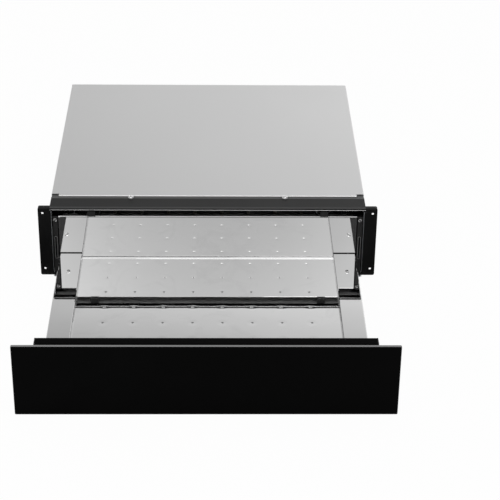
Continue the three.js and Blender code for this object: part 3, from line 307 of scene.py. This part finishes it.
class Finish:
    """One material: a Principled surface with its maps fed by the shared effects."""

    def __init__(self, name, **uniform):
        self.material = bpy.data.materials.new(name)
        self.material.use_nodes = True
        self.material.node_tree.nodes.clear()
        self.web = Web(self.material.node_tree)
        self.surface = self.web.add("ShaderNodeBsdfPrincipled")
        output = self.web.add("ShaderNodeOutputMaterial")
        self.web.feed(output.inputs["Surface"], self.surface.outputs["BSDF"])
        self.place = self.web.add("ShaderNodeTexCoord").outputs["Object"]
        for key, value in uniform.items():
            self.surface.inputs[key.replace("_", " ")].default_value = value

    def effect(self, group, **values):
        node = self.web.add("ShaderNodeGroup", node_tree=group)
        self.web.feed(node.inputs["Place"], self.place)
        for key, value in values.items():
            node.inputs[key.replace("_", " ")].default_value = value
        return node.outputs

    def colour(self, value):
        self.web.feed(self.surface.inputs["Base Color"], value)
        return self

    def shades(self, low, high, tone):
        """The base colour goes from one shade to another over the usual part of a noise."""
        share = self.web.spread(tone, 0.0, 1.0, NOISE_LOW, NOISE_HIGH)
        return self.colour(self.web.blend(share, low, high))

    def metallic(self, value):
        self.web.feed(self.surface.inputs["Metallic"], value)
        return self

    def rough(self, value):
        self.web.feed(self.surface.inputs["Roughness"], value)
        return self

    def bump(self, height, distance):
        node = self.web.add("ShaderNodeBump", {"Height": height, "Distance": distance,
                                               "Strength": 1.0})
        self.web.feed(self.surface.inputs["Normal"], node.outputs["Normal"])
        return self


def coated(name, roughness, specular, grain=0.6 * MM, relief=0.006 * MM):
    """A grained coat without its colour yet, and the tone that its shades follow."""
    coat = Finish(name, Metallic=0.0, Specular_IOR_Level=specular)
    skin = coat.effect(POWDER_GRAIN, Grain_Size=grain,
                       Roughness_Low=roughness[0], Roughness_High=roughness[1])
    return coat.rough(skin["Roughness"]).bump(skin["Height"], relief), skin["Tone"]


def drawn(name, roughness, stretch, relief=0.002 * MM):
    """A drawn metal without its colour yet, and the tone that its shades follow."""
    metal = Finish(name, Metallic=1.0)
    skin = metal.effect(DRAWN_GRAIN, Stretch=stretch,
                        Roughness_Low=roughness[0], Roughness_High=roughness[1])
    return metal.rough(skin["Roughness"]).bump(skin["Height"], relief), skin["Tone"]


def painted(name, low, high, **skin):
    coat, tone = coated(name, **skin)
    return coat.shades(low, high, tone).material


def drawn_metal(name, low, high, **skin):
    metal, tone = drawn(name, **skin)
    return metal.shades(low, high, tone).material


def mirror_steel():
    """Polished steel: dull along the wall's rim; painted shade makes it greyer on the ledges and
    in the wall's foot, and a painted shadow darkens the seam behind the ledges.
    """
    # Painted shade: greyer shades for the ledges and the wall's foot, and a dark painted shadow
    # for the seam behind the ledges
    polished, smeared, painted_ledge_shade = grey(0.80), grey(0.77), grey(0.71)
    painted_foot_shade, painted_seam_shadow = grey(0.62), grey(0.05)
    rim_metal_loss, rim_roughness = 0.85, 0.22
    wave_height = 0.12 * MM
    steel = Finish("Mirror steel", Metallic=1.0)
    marks = steel.effect(HANDLING_MARKS, Smear_Size=0.07,
                         Roughness_Low=0.02, Roughness_High=0.045)
    waves = steel.effect(SHEET_WAVES, Span=0.11)
    web = steel.web
    at = web.axes(steel.place)
    rim = web.times(web.above(at["Z"], wall_high.z - WALL_RIM_HEIGHT),
                    web.below(at["Y"], WALL_FACE + WALL_RIM_DEPTH))
    seam = web.times(web.below(at["Z"], ledge_high.z + SEAM_RISE),
                     web.above(at["Y"], WALL_FACE - SEAM_REACH))
    foot = web.times(web.above(at["Y"], WALL_FACE - FOOT_REACH),
                     web.below(at["Z"], floor_high.z + FOOT_REACH))
    beside = web.above(web.size(at["X"]), ledge_low.x)
    ledge = web.times(beside, web.below(at["Y"], WALL_FACE))
    smear = web.spread(marks["Smear"], 0.0, 1.0, NOISE_LOW, NOISE_HIGH)
    sheen = web.blend(smear, polished, smeared)
    # Painted shade on the ledges and in the wall's foot; on the next line, a painted shadow in the
    # seam behind the ledges
    sheen = web.blend(foot, web.blend(ledge, sheen, painted_ledge_shade), painted_foot_shade)
    steel.colour(web.blend(web.times(seam, beside), sheen, painted_seam_shadow))
    steel.metallic(web.math("SUBTRACT", 1.0, web.times(rim, rim_metal_loss)))
    steel.rough(web.math("ADD", marks["Roughness"], web.times(rim, rim_roughness)))
    return steel.bump(waves["Height"], wave_height).material


def black_glass():
    """Glass printed black behind, with ground grey edges."""
    clean, smeared, ground = grey(0.0006), grey(0.0010), grey(0.24)
    ground_roughness = 0.35
    glass = Finish("Black glass", Metallic=0.0, Specular_IOR_Level=0.035)
    web = glass.web
    marks = glass.effect(HANDLING_MARKS, Smear_Size=0.08,
                         Roughness_Low=0.015, Roughness_High=0.05)
    edge = web.below(web.size(web.facing()["Y"]), GLASS_EDGE)
    face = web.blend(marks["Smear"], clean, smeared)
    glass.colour(web.blend(edge, face, ground))
    glass.rough(web.math("ADD", marks["Roughness"], web.times(edge, ground_roughness)))
    return glass.material


def cap_enamel():
    """Dark grey enamel with painted light: a highlight on its front fold, a paler strip by the
    cover and a pale underside as if lit from below; rubbed along the flared edge.
    """
    # Painted light: the fold's highlight, the paler strip by the cover and the pale underside
    dark, light, painted_fold_highlight, painted_cover_strip_light = grey(0.0085), grey(0.0125), grey(0.060), grey(0.10)
    painted_underside_light, rubbed, rubbed_metal = grey(0.46), grey(0.62), 0.70
    coat, tone = coated("Dark grey enamel", roughness=(0.32, 0.44), specular=0.14)
    web = coat.web
    at = web.axes(coat.place)
    fold = web.times(web.below(at["Y"], cap_low.y + CAP_FOLD_DEPTH),
                     web.above(at["Z"], cap_high.z - CAP_FOLD_HEIGHT))
    strip = web.above(at["Y"], cap_low.y + CAP_STRIP)
    under = web.below(web.facing()["Z"], UNDERSIDE)
    flare = web.below(at["Z"], cap_low.z + FLARE_RUB)
    # Painted highlight on the fold, and painted light on the strip by the cover and on the
    # underside
    shade = web.blend(fold, web.blend(tone, dark, light), painted_fold_highlight)
    shade = web.blend(under, web.blend(strip, shade, painted_cover_strip_light), painted_underside_light)
    coat.colour(web.blend(flare, shade, rubbed))
    return coat.metallic(web.times(flare, rubbed_metal)).material


def rail_black():
    """Deep black powder coat with painted light: paler on the top rail's underside and on its
    tabs.
    """
    # Painted light: paler shades for the tabs and for the top rail's underside, as if lit from
    # below
    dark, light, painted_tab_light, painted_underside_light = grey(0.0010), grey(0.0018), grey(0.028), grey(0.24)
    coat, tone = coated("Deep black powder coat", roughness=(0.4, 0.55), specular=0.012)
    web = coat.web
    at = web.axes(coat.place)
    on_rail = web.above(at["Y"], flange_front)
    tab = web.times(on_rail, web.below(at["Z"], RAIL_UNDERSIDE))
    under = web.times(web.below(web.facing()["Z"], UNDERSIDE), on_rail)
    shade = web.blend(tab, web.blend(tone, dark, light), painted_tab_light)
    return coat.colour(web.blend(under, shade, painted_underside_light)).material


def soft_rubber():
    """Matt black rubber, with painted light making its undersides pale."""
    # Painted light: the undersides get a paler shade, as if lit from below
    dark, light, painted_rubber_underside_light = grey(0.014), grey(0.020), grey(0.24)
    coat, tone = coated("Soft rubber", roughness=(0.7, 0.9), specular=0.3,
                        grain=0.8 * MM, relief=0.02 * MM)
    web = coat.web
    under = web.below(web.facing()["Z"], UNDERSIDE)
    return coat.colour(web.blend(under, web.blend(tone, dark, light), painted_rubber_underside_light)).material


def bracket_black():
    """Black-coated steel whose raised slot rim is worn bright."""
    dark, light, worn = grey(0.012), grey(0.022), grey(0.50)
    coat, tone = coated("Bracket black", roughness=(0.25, 0.4), specular=0.35,
                        grain=0.5 * MM, relief=0.005 * MM)
    web = coat.web
    rim = web.below(web.axes(coat.place)["Y"], bracket_low.y + SLOT_RIM)
    coat.colour(web.blend(rim, web.blend(tone, dark, light), worn))
    return coat.metallic(rim).material


def spangled_zinc():
    """Zinc-coated sheet in pale crystals; painted shade makes it black inside the casing and dark
    on the low upward faces under the heater.
    """
    dark, light = rgb(0.50, 0.52, 0.54), rgb(0.64, 0.66, 0.68)
    # Painted shade: black for the side panels' inward faces, dark for the low upward faces under
    # the heater
    painted_heater_shade, black = rgb(0.030, 0.027, 0.024), grey(0.012)
    zinc, _ = drawn("Spangled zinc", roughness=(0.3, 0.48), stretch=(900.0, 25.0, 900.0))
    web = zinc.web
    crystals = web.add("ShaderNodeTexVoronoi", {"Vector": zinc.place, "Scale": 140.0,
                                                "Randomness": 1.0})
    crystal = web.add("ShaderNodeSeparateColor", {0: crystals.outputs["Color"]})
    at, facing = web.axes(zinc.place), web.facing()
    low = web.below(at["Z"], mat_high.z + 2 * SHEET)
    under_heater = web.times(low, web.above(facing["Z"], UPWARD))
    inside = web.times(web.below(web.times(facing["X"], at["X"]), INWARD),
                       web.above(web.size(at["X"]), side_low.x))
    shade = web.blend(under_heater, web.blend(crystal, dark, light), painted_heater_shade)
    zinc.colour(web.blend(inside, shade, black))
    return zinc.metallic(web.math("SUBTRACT", 1.0, inside)).material


def screw_steel():
    """Bright plated screws; those that hold the brackets inside the casing are made darker by
    painted shade.
    """
    # Painted shade: the screws in the bracket pockets get a darker shade
    dull, bright, painted_pocket_shade = grey(0.74), grey(0.82), grey(0.26)
    metal, tone = drawn("Bright screw", roughness=(0.14, 0.24), stretch=(700.0, 700.0, 700.0))
    web = metal.web
    aside = web.size(web.axes(metal.place)["X"])
    hidden = web.times(web.below(aside, hanger_high.x), web.above(aside, hanger_low.x))
    return metal.colour(web.blend(hidden, web.blend(tone, dull, bright), painted_pocket_shade)).material


def mineral_board():
    """Pressed mineral fibre, matt and felted."""
    dark, light = rgb(0.50, 0.46, 0.37), rgb(0.70, 0.66, 0.56)
    fibre_scale, fibre_relief = 420.0, 0.3 * MM
    board = Finish("Mineral board", Specular_IOR_Level=0.2)
    fibres = board.web.noise(board.place, fibre_scale, Detail=6.0, Distortion=2.0)
    board.shades(dark, light, fibres)
    board.rough(board.web.spread(fibres, 0.85, 1.0))
    return board.bump(fibres, fibre_relief).material


FINISHES = {
    "mirror_steel": mirror_steel(),
    "satin_steel": drawn_metal("Satin sheet", grey(0.745), grey(0.765),
                               roughness=(0.36, 0.42), stretch=(900.0, 20.0, 900.0)),
    "zinc_steel": spangled_zinc(),
    "black_paint": painted("Black powder coat", grey(0.0035), grey(0.0060),
                           roughness=(0.28, 0.42), specular=0.14),
    "deep_black_paint": rail_black(),
    "grey_paint": cap_enamel(),
    "black_steel": bracket_black(),
    "black_glass": black_glass(),
    "rail_steel": drawn_metal("Slide steel", rgb(0.58, 0.60, 0.62), rgb(0.70, 0.72, 0.74),
                              roughness=(0.2, 0.32), stretch=(1500.0, 18.0, 1500.0)),
    "ball_steel": drawn_metal("Ball steel", grey(0.70), grey(0.76),
                              roughness=(0.08, 0.16), stretch=(300.0, 300.0, 300.0)),
    "screw_steel": screw_steel(),
    "rubber": soft_rubber(),
    "black_plastic": painted("Black moulding", grey(0.006), grey(0.010), roughness=(0.4, 0.55),
                             specular=0.3, grain=0.7 * MM, relief=0.012 * MM),
    "grey_plastic": painted("Grey moulding", grey(0.28), grey(0.33), roughness=(0.42, 0.56),
                            specular=0.4, grain=0.7 * MM, relief=0.012 * MM),
    "ceramic": painted("Steatite", rgb(0.72, 0.68, 0.58), rgb(0.80, 0.77, 0.69),
                       roughness=(0.5, 0.7), specular=0.4, grain=1.2 * MM, relief=0.02 * MM),
    "mineral_wool": mineral_board(),
    "heater_sheath": drawn_metal("Heater sheath", rgb(0.12, 0.11, 0.10), rgb(0.22, 0.19, 0.16),
                                 roughness=(0.4, 0.6), stretch=(200.0, 60.0, 200.0)),
    "silicone_lead": painted("Silicone lead", grey(0.62), grey(0.70), roughness=(0.45, 0.6),
                             specular=0.35, grain=0.5 * MM, relief=0.008 * MM),
}

for part in frame["record"]["subparts"]:
    for material_slot in frame["nodes"][part["node"]].material_slots:
        material_slot.material = FINISHES[part["material_slot"]]

# ---------------------------------------------------------------- pieces made by geometry nodes


def grown(name, source, tree, values, body, slot_name, nodes=()):
    """Runs a geometry tree on a mesh and keeps the plain result as one piece of a body."""
    seedling = bpy.data.objects.new(name + "_source", source)
    bpy.context.scene.collection.objects.link(seedling)
    modifier = seedling.modifiers.new("Form", "NODES")
    modifier.node_group = tree
    identifiers = {
        item.name: item.identifier for item in tree.interface.items_tree
        if item.item_type == "SOCKET" and item.in_out == "INPUT"
    }
    for label, value in {**values, "Material": FINISHES[slot_name]}.items():
        modifier[identifiers[label]] = value
    graph = bpy.context.evaluated_depsgraph_get()
    mesh = bpy.data.meshes.new_from_object(seedling.evaluated_get(graph))
    bpy.data.objects.remove(seedling)
    piece = bpy.data.objects.new(name, mesh)
    bpy.context.scene.collection.objects.link(piece)
    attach(piece, body)
    if nodes:
        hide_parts(*nodes)
    return piece


class FormWeb(Web):
    """A geometry node tree with the steps that both forms share."""

    def distance(self, axes):
        """How far a point lies from the Z axis."""
        level = self.vector(X=axes["X"], Y=axes["Y"])
        return self.add("ShaderNodeVectorMath", {0: level}, operation="LENGTH").outputs["Value"]

    def moved(self, geometry, by):
        return self.add("GeometryNodeTransform", {"Geometry": geometry, "Translation": by})

    def real(self, instances):
        return self.add("GeometryNodeRealizeInstances", {"Geometry": instances})

    def joined(self, *geometries):
        node = self.add("GeometryNodeJoinGeometry")
        for geometry in geometries:
            self.feed(node.inputs[0], geometry)
        return node

    def finish(self, out, geometry, material):
        finished = self.add("GeometryNodeSetMaterial", {"Geometry": self.real(geometry),
                                                        "Material": material})
        self.feed(out["Geometry"], finished)
        return self.tree


def new_form(name, inputs):
    """A group that makes a mesh from the mesh it is given, its sizes and its material."""
    web, given, out = new_group(name, {
        "Geometry": ("Geometry", None), **inputs, "Material": ("Material", None),
    }, {"Geometry": "Geometry"}, "GeometryNodeTree")
    return FormWeb(web.tree), given, out


def dimpled_sheet_tree():
    """A flat sheet with a grid of soft pressed dimples and two side walls folded down."""
    web, given, out = new_form("Dimpled sheet", {
        "Width": ("Float", 0.4), "Length": ("Float", 0.4), "Centre": ("Vector", None),
        "Columns": ("Int", 8), "Rows": ("Int", 8),
        "Pitch Across": ("Float", 0.05), "Pitch Along": ("Float", 0.05),
        "Rear Margin": ("Float", 0.02), "Dimple Radius": ("Float", 0.003),
        "Dimple Depth": ("Float", 0.001), "Draw Radius": ("Float", 0.01),
        "Draw Depth": ("Float", 0.00004), "Facets": ("Int", 20), "Side Wall": ("Float", 0.008),
    })
    outline = web.add("GeometryNodeCurvePrimitiveQuadrilateral", {
        "Width": given["Width"], "Height": given["Length"],
    })
    span_x = web.times(web.math("SUBTRACT", given["Columns"], 1.0), given["Pitch Across"])
    span_y = web.times(web.math("SUBTRACT", given["Rows"], 1.0), given["Pitch Along"])
    grid = web.add("GeometryNodeMeshGrid", {
        "Size X": span_x, "Size Y": span_y,
        "Vertices X": given["Columns"], "Vertices Y": given["Rows"],
    })
    rearward = web.math("SUBTRACT", web.times(given["Length"], 0.5), given["Rear Margin"])
    shift = web.vector(Y=web.math("SUBTRACT", rearward, web.times(span_y, 0.5)))
    spots = web.moved(grid.outputs["Mesh"], shift)

    # The flat part: the outline less a ring round each dimple
    ring = web.add("GeometryNodeCurvePrimitiveCircle", {
        "Resolution": given["Facets"], "Radius": given["Draw Radius"],
    })
    rings = web.add("GeometryNodeInstanceOnPoints", {
        "Points": spots, "Instance": ring.outputs["Curve"],
    })
    curves = web.joined(outline.outputs["Curve"], web.real(rings))
    flat = web.add("GeometryNodeFillCurve", {"Curve": curves})

    # One dish: a disc of rings, sunk by its distance from the middle
    cone = web.add("GeometryNodeMeshCone", {
        "Vertices": given["Facets"], "Side Segments": DIMPLE_RINGS,
        "Radius Bottom": given["Draw Radius"], "Radius Top": 0.0, "Depth": given["Dimple Depth"],
    }, fill_type="NONE")
    axes = web.axes(web.add("GeometryNodeInputPosition"))
    radius = web.distance(axes)
    sunk = 0.0
    for reach, deep in (("Dimple Radius", "Dimple Depth"), ("Draw Radius", "Draw Depth")):
        share = web.math("DIVIDE", radius, given[reach])
        rest = web.math("MAXIMUM", web.math("SUBTRACT", 1.0, web.times(share, share)), 0.0)
        sunk = web.math("SUBTRACT", sunk, web.times(web.math("POWER", rest, 2.0), given[deep]))
    dish = web.add("GeometryNodeSetPosition", {
        "Geometry": cone.outputs["Mesh"], "Position": web.vector(X=axes["X"], Y=axes["Y"], Z=sunk),
    })
    smooth = web.add("GeometryNodeSetShadeSmooth", {"Geometry": dish})
    dishes = web.add("GeometryNodeInstanceOnPoints", {"Points": spots, "Instance": smooth})
    welded = web.add("GeometryNodeMergeByDistance", {
        "Geometry": web.joined(flat, web.real(dishes)), "Distance": DIMPLE_WELD,
    })

    # The side walls, drawn down from the two long edges
    near_side = web.math("SUBTRACT", web.times(given["Width"], 0.5), SIDE_EDGE_REACH)
    walled = web.add("GeometryNodeExtrudeMesh", {
        "Mesh": welded, "Selection": web.above(web.size(axes["X"]), near_side),
        "Offset": web.vector(Z=web.times(given["Side Wall"], -1.0)), "Offset Scale": 1.0,
    }, mode="EDGES")
    placed = web.moved(walled.outputs["Mesh"], given["Centre"])
    return web.finish(out, placed, given["Material"])


def pan_screw_tree():
    """Pan heads with a cross recess, one on each point, facing the way the point's aim says."""
    web, given, out = new_form("Pan screws", {
        "Head Radius": ("Float", HEAD_RADIUS), "Head Height": ("Float", HEAD_HEIGHT),
        "Recess Length": ("Float", RECESS_LENGTH), "Recess Width": ("Float", RECESS_WIDTH),
    })
    # As shares of the head's height: where its top begins, how far its rim falls, and where the
    # recess's middle lies. The dome falls with this power of the distance from its middle
    top_share, rim_fall, recess_share, dome_power = 0.4, -0.5, 0.45, 2.6
    height = given["Head Height"]
    drum = web.add("GeometryNodeMeshCylinder", {
        "Vertices": HEAD_FACETS, "Side Segments": 2, "Fill Segments": DOME_RINGS,
        "Radius": given["Head Radius"], "Depth": height,
    }, fill_type="TRIANGLE_FAN")
    axes = web.axes(web.add("GeometryNodeInputPosition"))
    share = web.math("DIVIDE", web.distance(axes), given["Head Radius"])
    top = web.above(axes["Z"], web.times(height, top_share))
    fall = web.times(web.times(web.math("POWER", share, dome_power), height), rim_fall)
    domed = web.add("GeometryNodeSetPosition", {
        "Geometry": drum.outputs["Mesh"], "Offset": web.vector(Z=web.times(fall, top)),
    })
    arms = []
    for x, y in (("Recess Width", "Recess Length"), ("Recess Length", "Recess Width")):
        sizes = web.vector(X=given[x], Y=given[y], Z=height)
        arms.append(web.add("GeometryNodeMeshCube", {"Size": sizes}).outputs["Mesh"])
    cross = web.moved(web.joined(*arms), web.vector(Z=web.times(height, recess_share)))
    head = web.add("GeometryNodeMeshBoolean", {0: domed, 1: cross, "Self Intersection": True},
                   operation="DIFFERENCE", solver="EXACT")
    seated = web.moved(head.outputs["Mesh"], web.vector(Z=web.times(height, 0.5)))
    aim = web.add("GeometryNodeInputNamedAttribute", {"Name": "aim"}, data_type="FLOAT_VECTOR")
    turned = web.add("FunctionNodeAlignRotationToVector", {"Vector": aim}, axis="Z")
    heads = web.add("GeometryNodeInstanceOnPoints", {
        "Points": given["Geometry"], "Instance": seated, "Rotation": turned.outputs["Rotation"],
    })
    return web.finish(out, heads, given["Material"])


def aimed_points(spots):
    """A mesh of loose points, each with the way its screw faces."""
    mesh = bpy.data.meshes.new("screw_points")
    mesh.from_pydata([spot for spot, _ in spots], [], [])
    aim = mesh.attributes.new("aim", "FLOAT_VECTOR", "POINT")
    for index, (_, direction) in enumerate(spots):
        aim.data[index].vector = direction
    return mesh


DIMPLED_SHEET = dimpled_sheet_tree()
PAN_SCREWS = pan_screw_tree()

# ---------------------------------------------------------------- tray floor

floor_centre = (floor_low + floor_high) / 2
tray_floor = grown("tray_floor", bpy.data.meshes.new("tray_floor_source"), DIMPLED_SHEET, {
    "Width": floor_high.x - floor_low.x, "Length": floor_high.y - floor_low.y,
    "Centre": (floor_centre.x, floor_centre.y, floor_high.z),
    "Columns": DIMPLE_COLUMNS, "Rows": DIMPLE_ROWS,
    "Pitch Across": DIMPLE_PITCH_ACROSS, "Pitch Along": DIMPLE_PITCH_ALONG,
    "Rear Margin": DIMPLE_REAR_MARGIN, "Dimple Radius": DIMPLE_RADIUS,
    "Dimple Depth": DIMPLE_DEPTH, "Draw Radius": DRAW_RADIUS, "Draw Depth": DRAW_DEPTH,
    "Facets": DIMPLE_FACETS, "Side Wall": floor_high.z - floor_low.z,
}, "drawer", "mirror_steel", ("floor_plate",))
thickness = tray_floor.modifiers.new("Sheet", "SOLIDIFY")
thickness.thickness = SHEET
thickness.offset = -1

# ---------------------------------------------------------------- screws

FACES = {"up": Vector((0, 0, 1)), "front": Vector((0, -1, 0)), "back": Vector((0, 1, 0)),
         "right": Vector((1, 0, 0)), "left": Vector((-1, 0, 0))}


def head_spot(node, facing):
    """The point under a modelled screw's head, on the side that faces the given way."""
    low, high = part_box(node)
    direction = FACES[facing]
    centre = (low + high) / 2
    reach = max(direction.dot(low - centre), direction.dot(high - centre))
    return centre + direction * (reach - HEAD_HEIGHT), direction


def screws(name, spots, body, nodes=()):
    return grown(name, aimed_points(spots), PAN_SCREWS, {}, body, "screw_steel", nodes)


for screw, facing, body in (("cover_screw", "up", "chassis"), ("hanger_screw", "front", "chassis"),
                            ("wall_screw", "front", "drawer")):
    pair = ("right_" + screw, "left_" + screw)
    screws(screw + "_heads", [head_spot(node, facing) for node in pair], body, pair)

side_face = side_high.x - SIDE_FLANGE
casing_depth = back_high.y - flange_front
casing_spots = []
for share in SIDE_SCREW_SHARES:
    y = flange_front + casing_depth * share
    for facing, x in (("right", side_face), ("left", -side_face)):
        casing_spots.append((Vector((x, y, SCREW_ROW)) + FACES[facing] * SEAT, FACES[facing]))
for x in (BACK_SCREW_INSET - side_face, side_face - BACK_SCREW_INSET):
    for z in (SCREW_ROW, side_high.z - BACK_SCREW_DROP):
        spot = Vector((x, back_high.y, z)) + FACES["back"] * SEAT
        casing_spots.append((spot, FACES["back"]))
screws("casing_screw_heads", casing_spots, "chassis")

# ---------------------------------------------------------------- stage, light and camera

# The floor: its paint, how far it goes and how far it lies under the casing, and how much of it
# glows white to the camera and to polished metal
FLOOR_PAINT = grey(0.86)
FLOOR_REACH = 30.0
FLOOR_LEVEL = -0.5 * MM
CAMERA_GLOW = 0.965
MIRRORED_GLOW = 0.3

# Patches of painted shadow on the floor beside the drawer, seen only by polished metal
MIRRORED_SHADOW_PAINT = grey(0.07)
SHADOW_PATCH_ASIDE = 310 * MM
SHADOW_PATCH_WIDTH = 90 * MM
SHADOW_PATCH_ALONG = -440 * MM
SHADOW_PATCH_LENGTH = 340 * MM

# The pale tent that polished metal sees round itself. Each row holds a level at the start and at
# the end, and where they lie: as the height of the line of sight, the sine of its elevation, or
# as its share along X, X squared or Y
BEHIND_STEP = (0.75, 0.43, 0.52, 0.56)
BEHIND_FALL = (1.0, 0.4, 0.62, 0.74)
BEHIND_FOOT = (1.4, 1.0, 0.36, 0.48)
BEHIND_ACROSS = (0.67, 1.37, -0.25, 0.25)
BEFORE_STEP = (0.67, 0.78, 0.48, 0.52)
BEFORE_ACROSS = (1.0, 1.38, 0.0, 0.01)
BANK = (0.0, 1.3, 0.78, 0.90)
FORWARD = (1.0, 0.0, -0.1, 0.1)
ASIDE = (0.0, 1.0, 0.06, 0.2)
SIDE_LEVEL = 0.66
LIT_LEVEL = 0.62
CAMERA_LEVEL = 1.0

LAMP_AIM = (0.0, -0.2, 0.1)

# The photograph's camera, fitted to the corners of the drawer: its focal length in pixels of a
# 500-pixel picture, where it stands, and its angles in degrees
PICTURE_WIDTH = 500.0
FOCAL_LENGTH = 1634.0
SENSOR_WIDTH = 36.0
CAMERA_PLACE = (13.0 * MM, -2756.9 * MM, 1485.0 * MM)
CAMERA_NEAR, CAMERA_FAR = 0.05, 100.0
PITCH, YAW, ROLL = 29.75, 1.40, 0.80


def studio_floor():
    """A white floor with a light shadow; polished metal also sees two patches of painted shadow on
    it.
    """
    material = bpy.data.materials.new("Studio floor")
    material.use_nodes = True
    material.node_tree.nodes.clear()
    web = Web(material.node_tree)
    paint = web.add("ShaderNodeBsdfDiffuse", {"Color": FLOOR_PAINT})
    glow = web.add("ShaderNodeEmission", {"Color": grey(1.0), "Strength": 1.0})
    light = web.add("ShaderNodeLightPath").outputs
    mirrored = web.math("MAXIMUM", light["Is Glossy Ray"], light["Is Transmission Ray"])
    share = web.math("MAXIMUM", web.times(light["Is Camera Ray"], CAMERA_GLOW),
                     web.times(mirrored, MIRRORED_GLOW))
    mixed = web.add("ShaderNodeMixShader", {0: share, 1: paint, 2: glow})
    at = web.axes(web.add("ShaderNodeTexCoord").outputs["Object"])
    # Painted shadow: beside the drawer, polished metal sees the floor dark
    aside = web.size(web.math("SUBTRACT", web.size(at["X"]), SHADOW_PATCH_ASIDE))
    along = web.size(web.math("SUBTRACT", at["Y"], SHADOW_PATCH_ALONG))
    shadow_patch = web.times(web.below(aside, SHADOW_PATCH_WIDTH / 2), web.below(along, SHADOW_PATCH_LENGTH / 2))
    dark = web.add("ShaderNodeBsdfDiffuse", {"Color": MIRRORED_SHADOW_PAINT})
    shadow_patched = web.add("ShaderNodeMixShader", {0: web.times(shadow_patch, light["Is Glossy Ray"]),
                                             1: mixed, 2: dark})
    output = web.add("ShaderNodeOutputMaterial")
    web.feed(output.inputs["Surface"], shadow_patched)
    mesh = bpy.data.meshes.new("studio_floor")
    corners = [(x * FLOOR_REACH, y * FLOOR_REACH, FLOOR_LEVEL)
               for x, y in ((-1, -1), (1, -1), (1, 1), (-1, 1))]
    mesh.from_pydata(corners, [], [(0, 1, 2, 3)])
    mesh.materials.append(material)
    floor = bpy.data.objects.new("studio_floor", mesh)
    bpy.context.scene.collection.objects.link(floor)


def studio_world():
    """White to the camera; to polished metal a tent with its own levels behind and before."""
    world = bpy.data.worlds.new("Studio")
    world.use_nodes = True
    world.node_tree.nodes.clear()
    web = Web(world.node_tree)
    way = web.axes(web.add("ShaderNodeTexCoord").outputs["Generated"])
    rise = way["Z"]
    squared = web.times(way["X"], way["X"])
    behind = web.times(web.spread(rise, *BEHIND_STEP), web.spread(way["X"], *BEHIND_ACROSS))
    behind = web.times(behind, web.spread(rise, *BEHIND_FALL))
    behind = web.times(behind, web.spread(rise, *BEHIND_FOOT))
    before = web.times(web.spread(rise, *BEFORE_STEP), web.spread(squared, *BEFORE_ACROSS))
    before = web.math("ADD", before, web.spread(rise, *BANK))
    forward = web.spread(way["Y"], *FORWARD)
    along = web.math("ADD", web.times(before, forward),
                     web.times(behind, web.math("SUBTRACT", 1.0, forward)))
    tent = web.between(web.spread(squared, *ASIDE), along, SIDE_LEVEL)
    light = web.add("ShaderNodeLightPath").outputs
    level = web.between(light["Is Glossy Ray"], LIT_LEVEL, tent)
    shown = web.between(light["Is Camera Ray"], level, CAMERA_LEVEL)
    background = web.add("ShaderNodeBackground", {"Color": grey(1.0), "Strength": shown})
    output = web.add("ShaderNodeOutputWorld")
    web.feed(output.inputs["Surface"], background)
    bpy.context.scene.world = world


def softbox(name, place, size, power):
    """A square lamp that faces the drawer."""
    lamp = bpy.data.lights.new(name, "AREA")
    lamp.shape = "SQUARE"
    lamp.size = size
    lamp.energy = power
    holder = bpy.data.objects.new(name, lamp)
    holder.location = place
    holder.rotation_mode = "QUATERNION"
    holder.rotation_quaternion = (Vector(LAMP_AIM) - Vector(place)).to_track_quat("-Z", "Y")
    bpy.context.scene.collection.objects.link(holder)


def photo_camera():
    """The camera at the photograph's place: low tele lens, looking down at the open drawer."""
    data = bpy.data.cameras.new("Photo camera")
    data.sensor_width = SENSOR_WIDTH
    data.lens = SENSOR_WIDTH * FOCAL_LENGTH / PICTURE_WIDTH
    data.clip_start = CAMERA_NEAR
    data.clip_end = CAMERA_FAR
    pitch, yaw, roll = math.radians(PITCH), math.radians(YAW), math.radians(ROLL)
    forward = Vector((math.sin(yaw) * math.cos(pitch), math.cos(yaw) * math.cos(pitch),
                      -math.sin(pitch)))
    right = Vector((math.cos(yaw), -math.sin(yaw), 0))
    up = right.cross(forward)
    rolled_right = math.cos(roll) * right + math.sin(roll) * up
    rolled_up = math.cos(roll) * up - math.sin(roll) * right
    turn = Matrix((rolled_right, rolled_up, -forward)).transposed()
    camera = bpy.data.objects.new("Photo camera", data)
    camera.matrix_world = Matrix.Translation(CAMERA_PLACE) @ turn.to_4x4()
    bpy.context.scene.collection.objects.link(camera)
    bpy.context.scene.camera = camera


studio_floor()
studio_world()
softbox("Key light", (0.9, -1.3, 2.9), size=2.2, power=17.0)
softbox("Fill light", (-2.0, -0.9, 1.9), size=2.0, power=12.0)
photo_camera()
bpy.context.scene.view_settings.view_transform = "Standard"
